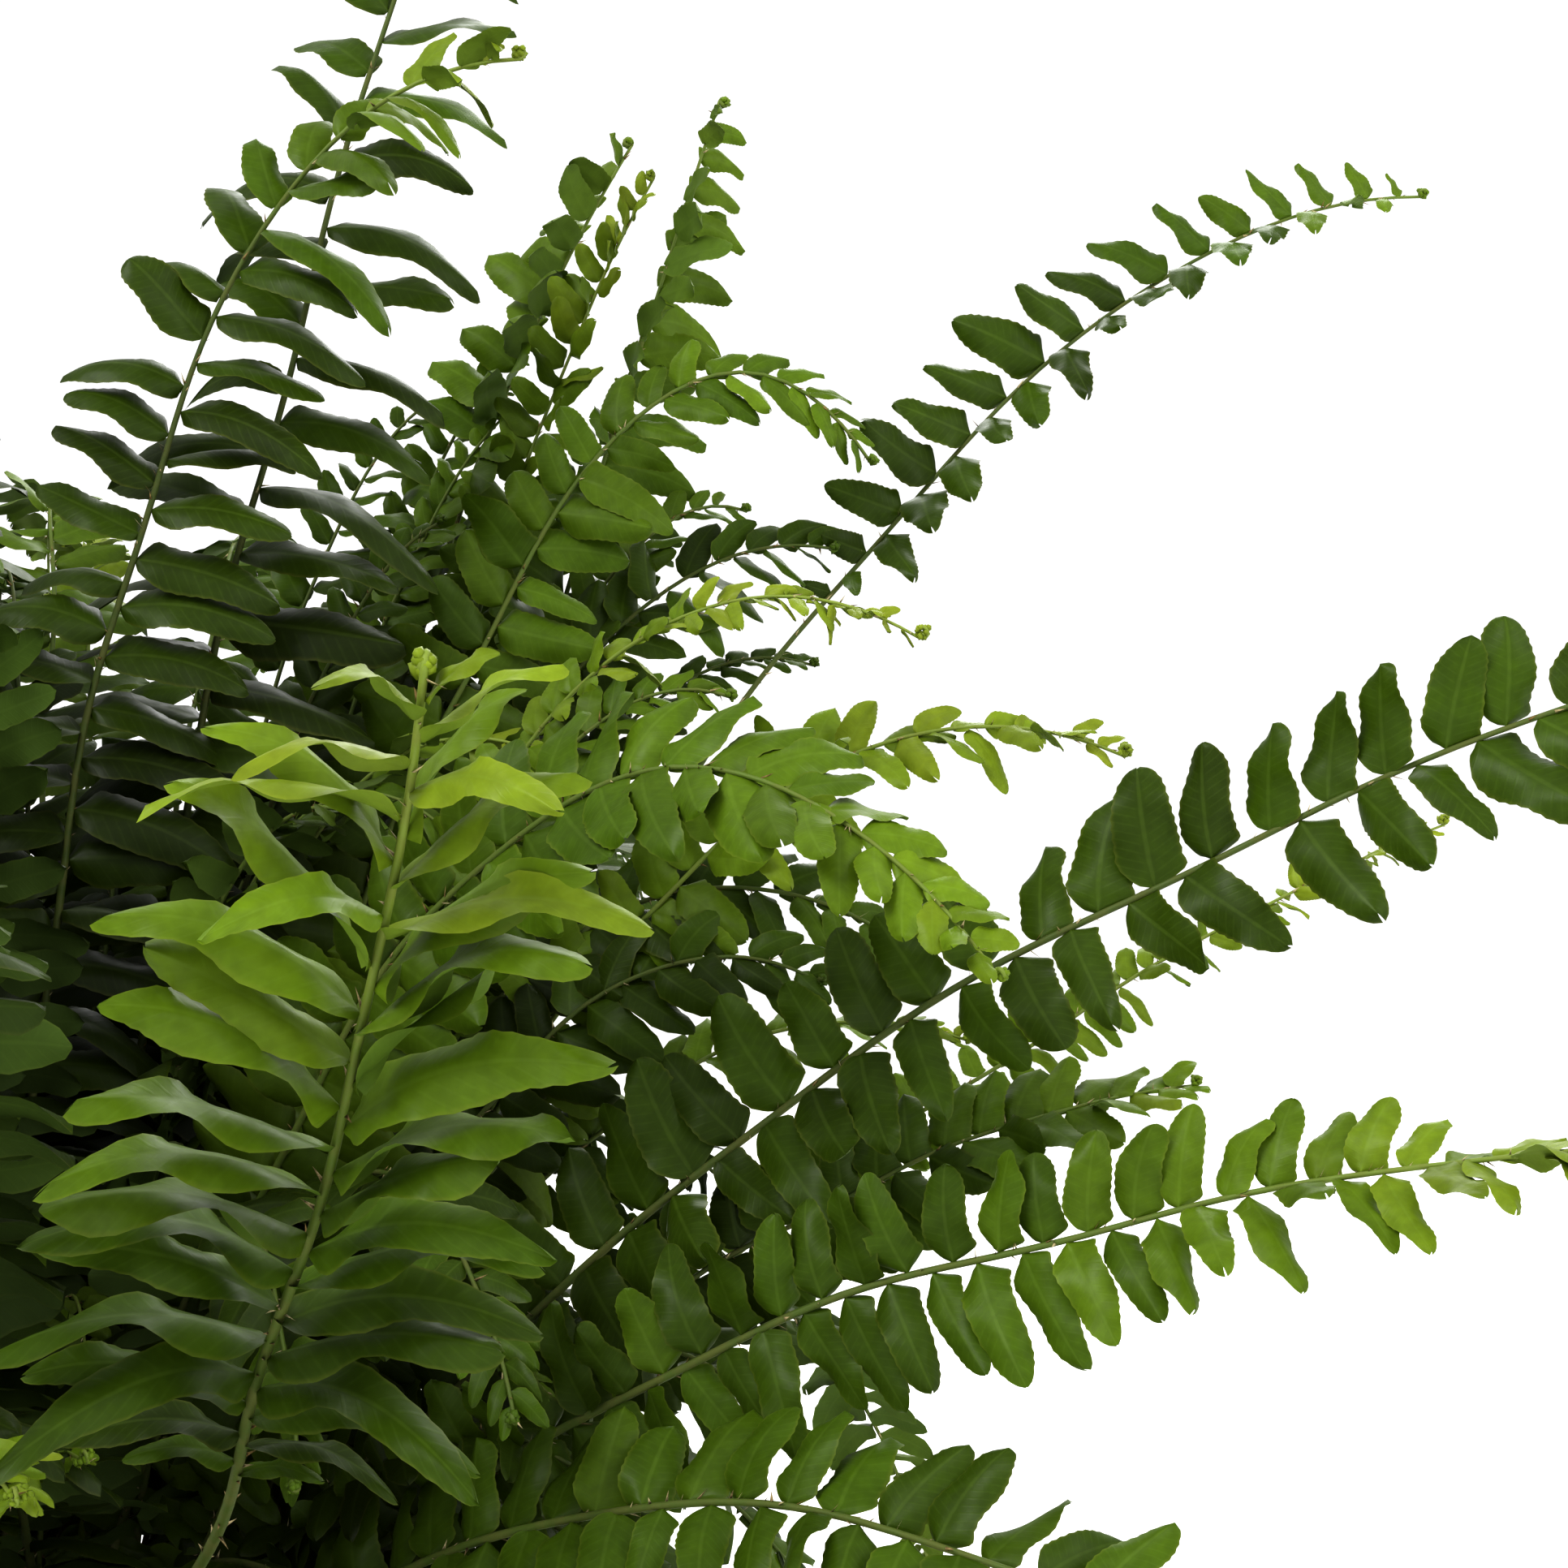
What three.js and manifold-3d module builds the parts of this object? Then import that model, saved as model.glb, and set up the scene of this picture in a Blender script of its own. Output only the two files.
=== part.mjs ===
// Potted sword fern: a clay pot, its soil, the scaly crown, and the fronds that rise from it.
//
// Units are millimetres, +Z is up. The origin is the middle of the pot's flat underside,
// so the pot stands on the plane z = 0. +X and +Y are the two level directions.
//
// A frond is one leaf: a wiry midrib with two rows of leaflets. Here it is one closed blade,
// lofted along its midrib. Every blade is as wide as the leaf, or as its neighbours allow.

import * as THREE from "three";
import { mergeVertices } from "three/addons/utils/BufferGeometryUtils.js";
import Module from "manifold-3d";

const wasm = await Module();
wasm.setup();

// ---------------------------------------------------------------- driving dimensions

const POT_HEIGHT = 150;
const POT_MOUTH_RADIUS = 85;
const POT_BASE_RADIUS = 56;
const POT_WALL = 7;
const RIM_HEIGHT = 26;
const RIM_STEP = 5;
const DRAIN_COUNT = 3;
const DRAIN_RADIUS = 6;
const CONTACT_GAP = 0.3;

const SOIL_DEPTH_BELOW_RIM = 13;
const SOIL_SLUMP = 4;
const CROWN_RADIUS = 52;
const CROWN_HEIGHT = 13;

const STALK_HALF_WIDTH = 1.1;
const BLADE_HALF_THICKNESS = 0.7;
const BLADE_STATIONS = 14;
const BARE_STALK = 0.16;
const NOTCH_DEPTH = 0.22;
const ROOM_SHARE = 0.42;
const MIDRIB_SAMPLES = 36;
const MIDRIB_CLEARANCE = 5;
const TURN_STEP = 1.5;
const TURN_TRIES = 60;

const GOLDEN_RATIO = 0.618034;
const ROUND_SEGMENTS = 40;

// ---------------------------------------------------------------- worked out from those

const POT_FLOOR = POT_WALL + 2;
const RIM_BOTTOM = POT_HEIGHT - RIM_HEIGHT;
const BODY_TOP_RADIUS = POT_MOUTH_RADIUS - RIM_STEP;
const SOIL_TOP = POT_HEIGHT - SOIL_DEPTH_BELOW_RIM;
const CROWN_BASE = SOIL_TOP + CONTACT_GAP;
const UP = new THREE.Vector3(0, 0, 1);

// ---------------------------------------------------------------- colours

const MATERIALS = {
  clay: { color: 0xb0653f, roughness: 0.85, metalness: 0 },
  soil: { color: 0x2c2018, roughness: 0.95, metalness: 0 },
  crown: { color: 0x5a4128, roughness: 0.9, metalness: 0 },
  mature_frond: { color: 0x3d5a1c, roughness: 0.45, metalness: 0 },
  mid_frond: { color: 0x5f8a2f, roughness: 0.5, metalness: 0 },
  young_frond: { color: 0x93ad42, roughness: 0.55, metalness: 0 },
};

// ---------------------------------------------------------------- the fronds' places

// Fronds placed one by one: habit, age, foot [x, y] where the stalk leaves the crown, shoulder
// [x, y, z] that the midrib is drawn towards, tip [x, y, z], half (the longest leaflet) and face
// [azimuth, elevation], the way that the upper side looks.
const PLACED_FRONDS = [
  ["tall", "mature", [-4, -12], [15, -22, 516], [116, -34, 513], 32, [-90, 10]],
  ["tall", "mature", [6, -4], [44, -6, 440], [106, 0, 592], 36, [-90, 10]],
  ["tall", "mid", [34, 20], [100, 50, 345], [156, 62, 529], 24, [-60, 20]],
  ["tall", "mid", [20, 32], [76, 70, 430], [133, 88, 524], 25, [-110, 20]],
  ["arching", "mid", [20, 6], [122, 12, 532], [192, 14, 434], 25, [-70, 40]],
  ["arching", "mature", [36, 12], [195, 40, 498], [329, 60, 505], 20, [-100, 25]],
  ["arching", "young", [28, -14], [106, -42, 444], [199, -70, 389], 15, [-90, 40]],
  ["arching", "young", [14, -24], [114, -76, 450], [209, -142, 327], 21, [-85, 30]],
  ["arching", "young", [42, -6], [142, -28, 408], [242, -48, 366], 20, [-85, 30]],
  ["spreading", "mature", [38, -22], [150, -62, 333], [388, -112, 396], 30, [-90, 25]],
  ["spreading", "mature", [48, 4], [146, 18, 274], [268, 24, 290], 20, [-80, 30]],
  ["spreading", "young", [44, 18], [190, 48, 292], [336, 66, 350], 14, [-90, 40]],
  ["spreading", "mature", [30, -36], [138, -92, 284], [338, -160, 302], 26, [-85, 15]],
  ["spreading", "mature", [27, -43], [148, -122, 298], [300, -200, 186], 23, [-90, 45]],
  ["arching", "young", [14, -42], [99, -224, 238], [134, -314, 372], 42, [95, 55]],
  ["arching", "mature", [18, -6], [108, -20, 388], [200, -30, 324], 24, [-80, 45]],
  ["arching", "young", [-8, 40], [-16, 150, 452], [-46, 232, 432], 24, [-90, 40]],
  ["hanging", "mature", [37, -31], [128, -128, 240], [206, -196, 84], 24, [-45, 70]],
  ["hanging", "mature", [50, -9], [170, -40, 234], [285, -62, 96], 24, [-10, 70]],
].map(([kind, age, foot, shoulder, tip, half, face]) => ({ kind, age, foot, shoulder, tip, half, face }));

// Rings of fronds that fill the rest of the plant: habit, age, count, the azimuths of the ring's
// two ends, the foot's radius, the tip's reach and height, bend (how far out the shoulder lies,
// as a share of reach), crest (the shoulder's height), half (the longest leaflet) and tilt, how
// far the upper sides lean back towards the middle of the plant.
const FROND_RINGS = [
  ["tall", "mature", 6, [126, 246], 16, 120, 530, 0.25, 500, 26, 28],
  ["arching", "mid", 9, [68, 262], 28, 235, 415, 0.5, 545, 27, 14],
  ["spreading", "mature", 10, [44, 288], 40, 365, 290, 0.5, 420, 30, 20],
  ["hanging", "mature", 8, [10, 300], 47, 300, 120, 0.62, 318, 27, 0],
].map(([kind, age, count, azimuths, foot, reach, height, bend, crest, half, tilt]) =>
  ({ kind, age, count, azimuths, foot, reach, height, bend, crest, half, tilt }));
const REACH_SPREAD = 0.12;
const HEIGHT_SPREAD = 0.1;
const CREST_SPREAD = 0.03;
const SWEEP_SPREAD = 22;

// Young fronds still rolled up at the tip: where each stalk stands, and its height.
const CROZIERS = [
  { azimuth: 15, foot: 10, lean: 14, height: 118 },
  { azimuth: 118, foot: 22, lean: 20, height: 92 },
  { azimuth: 212, foot: 26, lean: 20, height: 140 },
  { azimuth: 318, foot: 33, lean: 18, height: 84 },
];
const CROZIER_HEAD_RADIUS = 6;
const CROZIER_STALK_RADIUS = 1.3;
const CROZIER_TURN = 1.45 * Math.PI;

// ---------------------------------------------------------------- small helpers

const radians = (degrees) => (degrees * Math.PI) / 180;

// A repeatable value between -1 and 1 for the nth draw of a series.
const scatter = (n) => 2 * ((n * GOLDEN_RATIO) % 1) - 1;

const crownHeightAt = (radius) =>
  CROWN_BASE + CROWN_HEIGHT * Math.sqrt(Math.max(0, 1 - (radius / CROWN_RADIUS) ** 2));

function polar(azimuth, radius, height) {
  const angle = radians(azimuth);
  return new THREE.Vector3(radius * Math.cos(angle), radius * Math.sin(angle), height);
}

function direction(azimuth, elevation) {
  const level = Math.cos(radians(elevation));
  return polar(azimuth, level, Math.sin(radians(elevation)));
}

function meshOf(name, geometry, slot) {
  const mesh = new THREE.Mesh(geometry, new THREE.MeshStandardMaterial(MATERIALS[slot]));
  mesh.name = name;
  return mesh;
}

function numbered(kind, count) {
  return `${kind}_frond_${String(count).padStart(2, "0")}`;
}

// A solid of revolution about Z from (radius, height) pairs, both ends on the axis.
function turned(profile) {
  const points = profile.map(([radius, height]) => new THREE.Vector2(radius, height));
  const geometry = new THREE.LatheGeometry(points, ROUND_SEGMENTS);
  geometry.rotateX(Math.PI / 2);
  return geometry;
}

function toSolid(geometry) {
  const bare = geometry.clone();
  bare.deleteAttribute("normal");
  bare.deleteAttribute("uv");
  const merged = mergeVertices(bare, 1e-4);
  const vertProperties = new Float32Array(merged.attributes.position.array);
  const triVerts = new Uint32Array(merged.index.array);
  return new wasm.Manifold(new wasm.Mesh({ numProp: 3, vertProperties, triVerts }));
}

function toGeometry(solid) {
  const { vertProperties, triVerts } = solid.getMesh();
  const geometry = new THREE.BufferGeometry();
  geometry.setAttribute("position", new THREE.BufferAttribute(vertProperties, 3));
  geometry.setIndex(new THREE.BufferAttribute(triVerts, 1));
  geometry.computeVertexNormals();
  return geometry;
}

// ---------------------------------------------------------------- pot, soil and crown

function potGeometry() {
  const wallTop = BODY_TOP_RADIUS - POT_WALL;
  const edge = 2;
  const body = toSolid(turned([
    [0, 0],
    [POT_BASE_RADIUS - edge, 0],
    [POT_BASE_RADIUS, edge],
    [BODY_TOP_RADIUS, RIM_BOTTOM],
    [POT_MOUTH_RADIUS - edge / 2, RIM_BOTTOM],
    [POT_MOUTH_RADIUS, RIM_BOTTOM + edge],
    [POT_MOUTH_RADIUS, POT_HEIGHT - edge],
    [POT_MOUTH_RADIUS - edge, POT_HEIGHT],
    [wallTop + edge, POT_HEIGHT],
    [wallTop, POT_HEIGHT - edge],
    [POT_BASE_RADIUS - POT_WALL, POT_FLOOR],
    [0, POT_FLOOR],
  ]));
  const drainCircle = POT_BASE_RADIUS / 2;
  return toGeometry(
    Array.from({ length: DRAIN_COUNT }, (_, index) => {
      const hole = new THREE.CylinderGeometry(DRAIN_RADIUS, DRAIN_RADIUS, 3 * POT_FLOOR, 20);
      const place = polar((360 * index) / DRAIN_COUNT + 30, drainCircle, 0);
      hole.rotateX(Math.PI / 2).translate(place.x, place.y, 0);
      return toSolid(hole);
    }).reduce((pot, hole) => pot.subtract(hole), body)
  );
}

// The pot's inner wall is a straight cone, so the soil's edge follows it a gap inside.
function innerRadiusAt(height) {
  const low = POT_BASE_RADIUS - POT_WALL;
  const high = BODY_TOP_RADIUS - POT_WALL;
  return low + ((high - low) * (height - POT_FLOOR)) / (POT_HEIGHT - POT_FLOOR - 2);
}

function soilGeometry() {
  const bottom = POT_FLOOR + CONTACT_GAP;
  const edgeTop = SOIL_TOP - SOIL_SLUMP;
  const gap = CONTACT_GAP + 0.2;
  return turned([
    [0, bottom],
    [innerRadiusAt(bottom) - gap, bottom],
    [innerRadiusAt(edgeTop) - gap, edgeTop],
    [CROWN_RADIUS + 2 * SOIL_SLUMP, SOIL_TOP],
    [0, SOIL_TOP],
  ]);
}

function crownGeometry() {
  const profile = [[0, CROWN_BASE], [CROWN_RADIUS, CROWN_BASE]];
  const steps = 5;
  for (let step = 1; step < steps; step += 1) {
    const radius = CROWN_RADIUS * Math.cos(((Math.PI / 2) * step) / steps);
    profile.push([radius, crownHeightAt(radius)]);
  }
  profile.push([0, crownHeightAt(0)]);
  return turned(profile);
}

// ---------------------------------------------------------------- midribs

function midribFrom(foot, shoulder, tip) {
  const lift = 2 * STALK_HALF_WIDTH;
  const base = new THREE.Vector3(foot.x, foot.y, crownHeightAt(Math.hypot(foot.x, foot.y)) + lift);
  return new THREE.QuadraticBezierCurve3(base, shoulder, tip);
}

function placedFrond(row) {
  const midrib = midribFrom(
    new THREE.Vector2(...row.foot),
    new THREE.Vector3(...row.shoulder),
    new THREE.Vector3(...row.tip)
  );
  return { ...row, midrib, samples: midrib.getPoints(MIDRIB_SAMPLES), face: direction(...row.face) };
}

// The nth frond of a ring, turned about the crown by turn degrees.
function ringFrond(ring, index, turn) {
  const [first, last] = ring.azimuths;
  const azimuth = first + ((last - first) * (index + 0.5)) / ring.count + turn;
  const draw = index + ring.crest;
  const reach = ring.reach * (1 + REACH_SPREAD * scatter(draw));
  const height = ring.height * (1 + HEIGHT_SPREAD * scatter(2 * draw + 1));
  const sweep = SWEEP_SPREAD * scatter(3 * draw + 2);
  const crest = ring.crest * (1 + CREST_SPREAD * scatter(5 * draw));
  const shoulder = polar(azimuth, reach * ring.bend, crest);
  const foot = polar(azimuth, ring.foot, 0);
  const midrib = midribFrom(foot, shoulder, polar(azimuth + sweep, reach, height));
  const face = direction(azimuth + 180, 90 - ring.tilt);
  return { ...ring, midrib, samples: midrib.getPoints(MIDRIB_SAMPLES), face };
}

function gapBetween(samples, others) {
  let least = Infinity;
  for (const point of samples) {
    for (const other of others) {
      least = Math.min(least, point.distanceTo(other));
    }
  }
  return least;
}

// A ring's frond turns about the crown, a little more each try, until its midrib is clear.
function clearRingFrond(ring, index, grown) {
  for (let attempt = 0; attempt < TURN_TRIES; attempt += 1) {
    const turn = (attempt % 2 ? -1 : 1) * Math.ceil(attempt / 2) * TURN_STEP;
    const frond = ringFrond(ring, index, turn);
    if (grown.every((other) => gapBetween(frond.samples, other.samples) > MIDRIB_CLEARANCE)) {
      return frond;
    }
  }
  throw new Error(`no room for frond ${index} of the ${ring.kind} ring`);
}

// A crozier's stalk leans outwards and ends in a flat roll turned back over the plant.
function crozierMidrib({ azimuth, foot, lean, height }) {
  const start = polar(azimuth, foot, crownHeightAt(foot) + 2 * STALK_HALF_WIDTH);
  const neck = polar(azimuth, foot + lean, start.z + height);
  const outward = direction(azimuth, 0);
  const centre = neck.clone().addScaledVector(outward, -CROZIER_HEAD_RADIUS);
  const path = [start, start.clone().lerp(neck, 0.5).addScaledVector(outward, -lean / 5), neck];
  const steps = 6;
  for (let step = 1; step <= steps; step += 1) {
    const angle = (CROZIER_TURN * step) / steps;
    const radius = CROZIER_HEAD_RADIUS * (1 - 0.42 * (step / steps));
    path.push(
      centre.clone()
        .addScaledVector(outward, radius * Math.cos(angle))
        .addScaledVector(UP, radius * Math.sin(angle))
    );
  }
  return new THREE.CatmullRomCurve3(path);
}

// ---------------------------------------------------------------- solids along midribs

// Half the frond's width as a share of its longest leaflet: a bare stalk, a quick rise to full
// width, then a long taper to the tip.
function outline(along) {
  if (along < BARE_STALK) {
    return 0;
  }
  const blade = (along - BARE_STALK) / (1 - BARE_STALK);
  const rise = Math.min(1, 0.3 + 5 * blade);
  const taper = (1 - blade ** 3.4) ** 0.75;
  return rise * taper;
}

function bladeGeometry(frond, others) {
  const ring = [];
  for (let station = 0; station <= BLADE_STATIONS; station += 1) {
    const along = station / BLADE_STATIONS;
    const centre = frond.midrib.getPoint(along);
    const tangent = frond.midrib.getTangent(along);
    const side = tangent.clone().cross(frond.face).normalize();
    const normal = side.clone().cross(tangent);
    const room = Math.min(...others.map((other) => gapBetween([centre], other)));
    const notch = station % 2 ? 1 - NOTCH_DEPTH : 1;
    const leaf = Math.min(frond.half * outline(along) * notch, room * ROOM_SHARE - CONTACT_GAP);
    const width = Math.max(STALK_HALF_WIDTH, leaf);
    ring.push([
      centre.clone().addScaledVector(side, width),
      centre.clone().addScaledVector(normal, BLADE_HALF_THICKNESS),
      centre.clone().addScaledVector(side, -width),
      centre.clone().addScaledVector(normal, -BLADE_HALF_THICKNESS),
    ]);
  }
  return loft(ring);
}

// Joins equal closed outlines, one after the other, into one closed skin with flat ends.
function loft(rings) {
  const sides = rings[0].length;
  const index = [];
  for (let row = 0; row + 1 < rings.length; row += 1) {
    for (let side = 0; side < sides; side += 1) {
      const next = (side + 1) % sides;
      const a = row * sides + side;
      const b = row * sides + next;
      index.push(a, a + sides, b, b, a + sides, b + sides);
    }
  }
  const last = (rings.length - 1) * sides;
  for (let side = 1; side + 1 < sides; side += 1) {
    index.push(0, side, side + 1, last, last + side + 1, last + side);
  }
  const geometry = new THREE.BufferGeometry().setFromPoints(rings.flat());
  geometry.setIndex(index);
  geometry.computeVertexNormals();
  return geometry;
}

function crozierGeometry(midrib) {
  const section = new THREE.Shape().absarc(0, 0, CROZIER_STALK_RADIUS, 0, 2 * Math.PI);
  return new THREE.ExtrudeGeometry(section, { steps: 22, curveSegments: 3, extrudePath: midrib });
}

// ---------------------------------------------------------------- the plant

const plant = new THREE.Group();
plant.add(meshOf("clay_pot", potGeometry(), "clay"));
plant.add(meshOf("potting_soil", soilGeometry(), "soil"));
plant.add(meshOf("rhizome_crown", crownGeometry(), "crown"));

const croziers = CROZIERS.map(crozierMidrib);
const crozierSamples = croziers.map((midrib) => ({ samples: midrib.getPoints(MIDRIB_SAMPLES) }));

const fronds = PLACED_FRONDS.map(placedFrond);
for (const ring of FROND_RINGS) {
  for (let index = 0; index < ring.count; index += 1) {
    fronds.push(clearRingFrond(ring, index, fronds));
  }
}

const tally = {};
fronds.forEach((frond) => {
  const others = [...fronds, ...crozierSamples].filter((other) => other !== frond);
  tally[frond.kind] = (tally[frond.kind] ?? 0) + 1;
  const geometry = bladeGeometry(frond, others.map((other) => other.samples));
  plant.add(meshOf(numbered(frond.kind, tally[frond.kind]), geometry, `${frond.age}_frond`));
});

croziers.forEach((midrib, index) => {
  plant.add(meshOf(`crozier_${index + 1}`, crozierGeometry(midrib), "young_frond"));
});

export default plant;
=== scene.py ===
import math

import bpy
import numpy as np
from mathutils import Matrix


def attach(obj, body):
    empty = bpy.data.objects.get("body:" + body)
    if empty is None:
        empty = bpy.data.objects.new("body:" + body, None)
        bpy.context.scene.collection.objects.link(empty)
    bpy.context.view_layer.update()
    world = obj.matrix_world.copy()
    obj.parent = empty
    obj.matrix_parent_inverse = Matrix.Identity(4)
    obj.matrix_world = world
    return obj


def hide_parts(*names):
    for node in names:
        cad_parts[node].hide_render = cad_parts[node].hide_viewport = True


# Potted sword fern. Every frond of the frame gets its two rows of leaflets, and the pot, the soil
# and the crown get their surfaces. Tables and shapes are in millimetres, as the frame's design is,
# and a mesh is scaled to metres when its piece is made.

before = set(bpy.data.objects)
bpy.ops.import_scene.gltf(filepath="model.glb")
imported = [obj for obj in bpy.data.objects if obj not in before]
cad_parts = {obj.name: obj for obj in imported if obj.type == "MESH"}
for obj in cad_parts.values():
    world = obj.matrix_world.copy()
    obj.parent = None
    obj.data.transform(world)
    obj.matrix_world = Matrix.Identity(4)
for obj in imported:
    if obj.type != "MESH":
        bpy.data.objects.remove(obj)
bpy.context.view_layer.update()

MM = 0.001
BODY = "root"
UP = np.array([0.0, 0.0, 1.0])
GOLDEN_RATIO = 0.618034

# ---- the pot's driving sizes

POT_HEIGHT = 150
POT_MOUTH_RADIUS = 85
POT_BASE_RADIUS = 56
POT_WALL = 7
RIM_HEIGHT = 26
RIM_STEP = 5
POT_FLOOR = POT_WALL + 2
SOIL_TOP = POT_HEIGHT - 13
DRAIN_COUNT = 3
DRAIN_RADIUS = 6
DRAIN_AZIMUTH = 30
CUTTER_TURN = 0.05
CROWN_RADIUS = 52
CROWN_HEIGHT = 13
STALK_HALF_WIDTH = 1.1

# ---- where the fronds grow

# Fronds placed one by one, as the frame has them: habit, age, foot, shoulder, tip, the longest
# leaflet, and the way that the upper side looks as azimuth and elevation. The last value holds
# looks only, described at PLAIN_LOOKS.
PLACED_FRONDS = (
    ("tall", "mature", (-4, -12), (15, -22, 516), (116, -34, 513), 32, (-90, 10),
     dict(twist=100, lime=1.0, lime_from=0.66, pitch=0.35, breadth=0.175, taper=8, blind=52)),
    ("tall", "mature", (6, -4), (44, -6, 440), (106, 0, 592), 36, (-90, 10),
     dict(pitch=0.42, breadth=0.18, blind=50, droop=0.45, taper=8)),
    ("tall", "mid", (34, 20), (100, 50, 345), (156, 62, 529), 24, (-60, 20),
     dict(twist=-60, base_age=0.2, lime=0.6, fold=35, taper=12, pitch=0.4)),
    ("tall", "mid", (20, 32), (76, 70, 430), (133, 88, 524), 25, (-110, 20),
     dict(twist=70, base_age=0.2, lime=0.6, fold=40, taper=16, pitch=0.4)),
    ("arching", "mid", (20, 6), (122, 12, 532), (192, 14, 434), 25, (-70, 40),
     dict(twist=0, lime=0.2, blind=8)),
    ("arching", "mature", (36, 12), (195, 40, 498), (329, 60, 505), 20, (-100, 25),
     dict(twist=5, lime=0.6, fold=40, blunt=2.6, pitch=0.64, sweep=-34, taper=4.5, size=1.08,
          breadth=0.24, droop=0.05, blind=0, order=0.6, tip_sweep=0, bare=0.62, base_age=0.16)),
    ("arching", "young", (28, -14), (106, -42, 444), (199, -70, 389), 15, (-90, 40),
     dict(twist=30, lime=0.9)),
    ("arching", "young", (14, -24), (114, -76, 450), (209, -142, 327), 21, (-85, 30),
     dict(lime=0.6, base_age=0.34, lime_from=0.6, blind=0, pitch=0.5, order=0.4, breadth=0.25,
          droop=0.05, taper=5, size=1.15)),
    ("arching", "young", (42, -6), (142, -28, 408), (242, -48, 366), 20, (-85, 30),
     dict(twist=30, lime=0.8, taper=6)),
    ("spreading", "mature", (38, -22), (150, -62, 333), (388, -112, 396), 30, (-90, 25),
     dict(twist=5, fold=22, taper=9, size=0.86, pitch=0.41, breadth=0.22, leaf_twist=0.3, wave=0.22,
          base_age=0.15)),
    ("spreading", "mature", (48, 4), (146, 18, 274), (268, 24, 290), 20, (-80, 30),
     dict(twist=40, lime=0.7, fold=15, taper=10, breadth=0.27, blind=2)),
    ("spreading", "young", (44, 18), (190, 48, 292), (336, 66, 350), 14, (-90, 40),
     dict(twist=30, lime=0.9)),
    ("spreading", "mature", (30, -36), (138, -92, 284), (338, -160, 302), 26, (-85, 15),
     dict(twist=90, base_age=0.22, lime=1.0, lime_from=0.42, fold=18, taper=4.5, size=0.86,
          pitch=0.35, breadth=0.2, wave=0.25)),
    ("spreading", "mature", (27, -43), (148, -122, 298), (300, -200, 186), 23, (-90, 45),
     dict(base_age=0.26, lime=0.3, taper=5)),
    ("arching", "young", (14, -42), (99, -224, 238), (134, -314, 372), 42, (95, 55),
     dict(lime=0.85, base_age=0.14, lime_from=0.0, bare=0.59, taper=6, blind=58, leaf_twist=-0.75,
          sweep=28, skew=-14, tip_sweep=24, droop=0.2, pitch=0.2, size=0.9, breadth=0.125,
          order=0.8, wave=0.4)),
    ("arching", "mature", (18, -6), (108, -20, 388), (200, -30, 324), 24, (-80, 45),
     dict(lime=0.3, taper=9, size=0.85, pitch=0.4)),
    ("arching", "young", (-8, 40), (-16, 150, 452), (-46, 232, 432), 24, (-90, 40),
     dict(twist=20, lime=0.8)),
    ("hanging", "mature", (37, -31), (128, -128, 240), (206, -196, 84), 24, (-45, 70), {}),
    ("hanging", "mature", (50, -9), (170, -40, 234), (285, -62, 96), 24, (-10, 70), {}),
)

# The looks of a frond, each with its usual value. Angles are in degrees but for leaf_twist.
PLAIN_LOOKS = {
    "twist": 10,  # how far the blade turns by its tip
    "lime": 0.2,  # how light the tip is, from 0 to 1
    "lime_from": 0.5,  # the blade's share where the lighter, twisted tip sets in
    "fold": 6,  # how far both rows rise towards the upper side
    "size": 1.0,  # the leaflets' length, as a share of the longest that the frame leaves room for
    "pitch": 0.44,  # the gap between leaflets, as a share of the longest one
    "breadth": 0.215,  # half a leaflet's width, as a share of its length
    "skew": 0,  # how much more the right row leans forward than the left one
    "leaf_twist": 0.1,  # how far a leaflet turns by its own tip, in radians
    "wave": 0.15,  # how much a leaflet's edges ripple
    "blunt": 5,  # how round a leaflet's end is
    "bare": 0.13,  # the stalk's share without leaflets
    "taper": 3.4,  # how late the blade narrows
    "tip_sweep": 38,  # how much more the leaflets lean forward at the tip
    "order": 1.0,  # how unevenly the leaflets stand
}
# A frond may also have base_age, the green at its foot where it isn't the one of its age.

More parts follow.
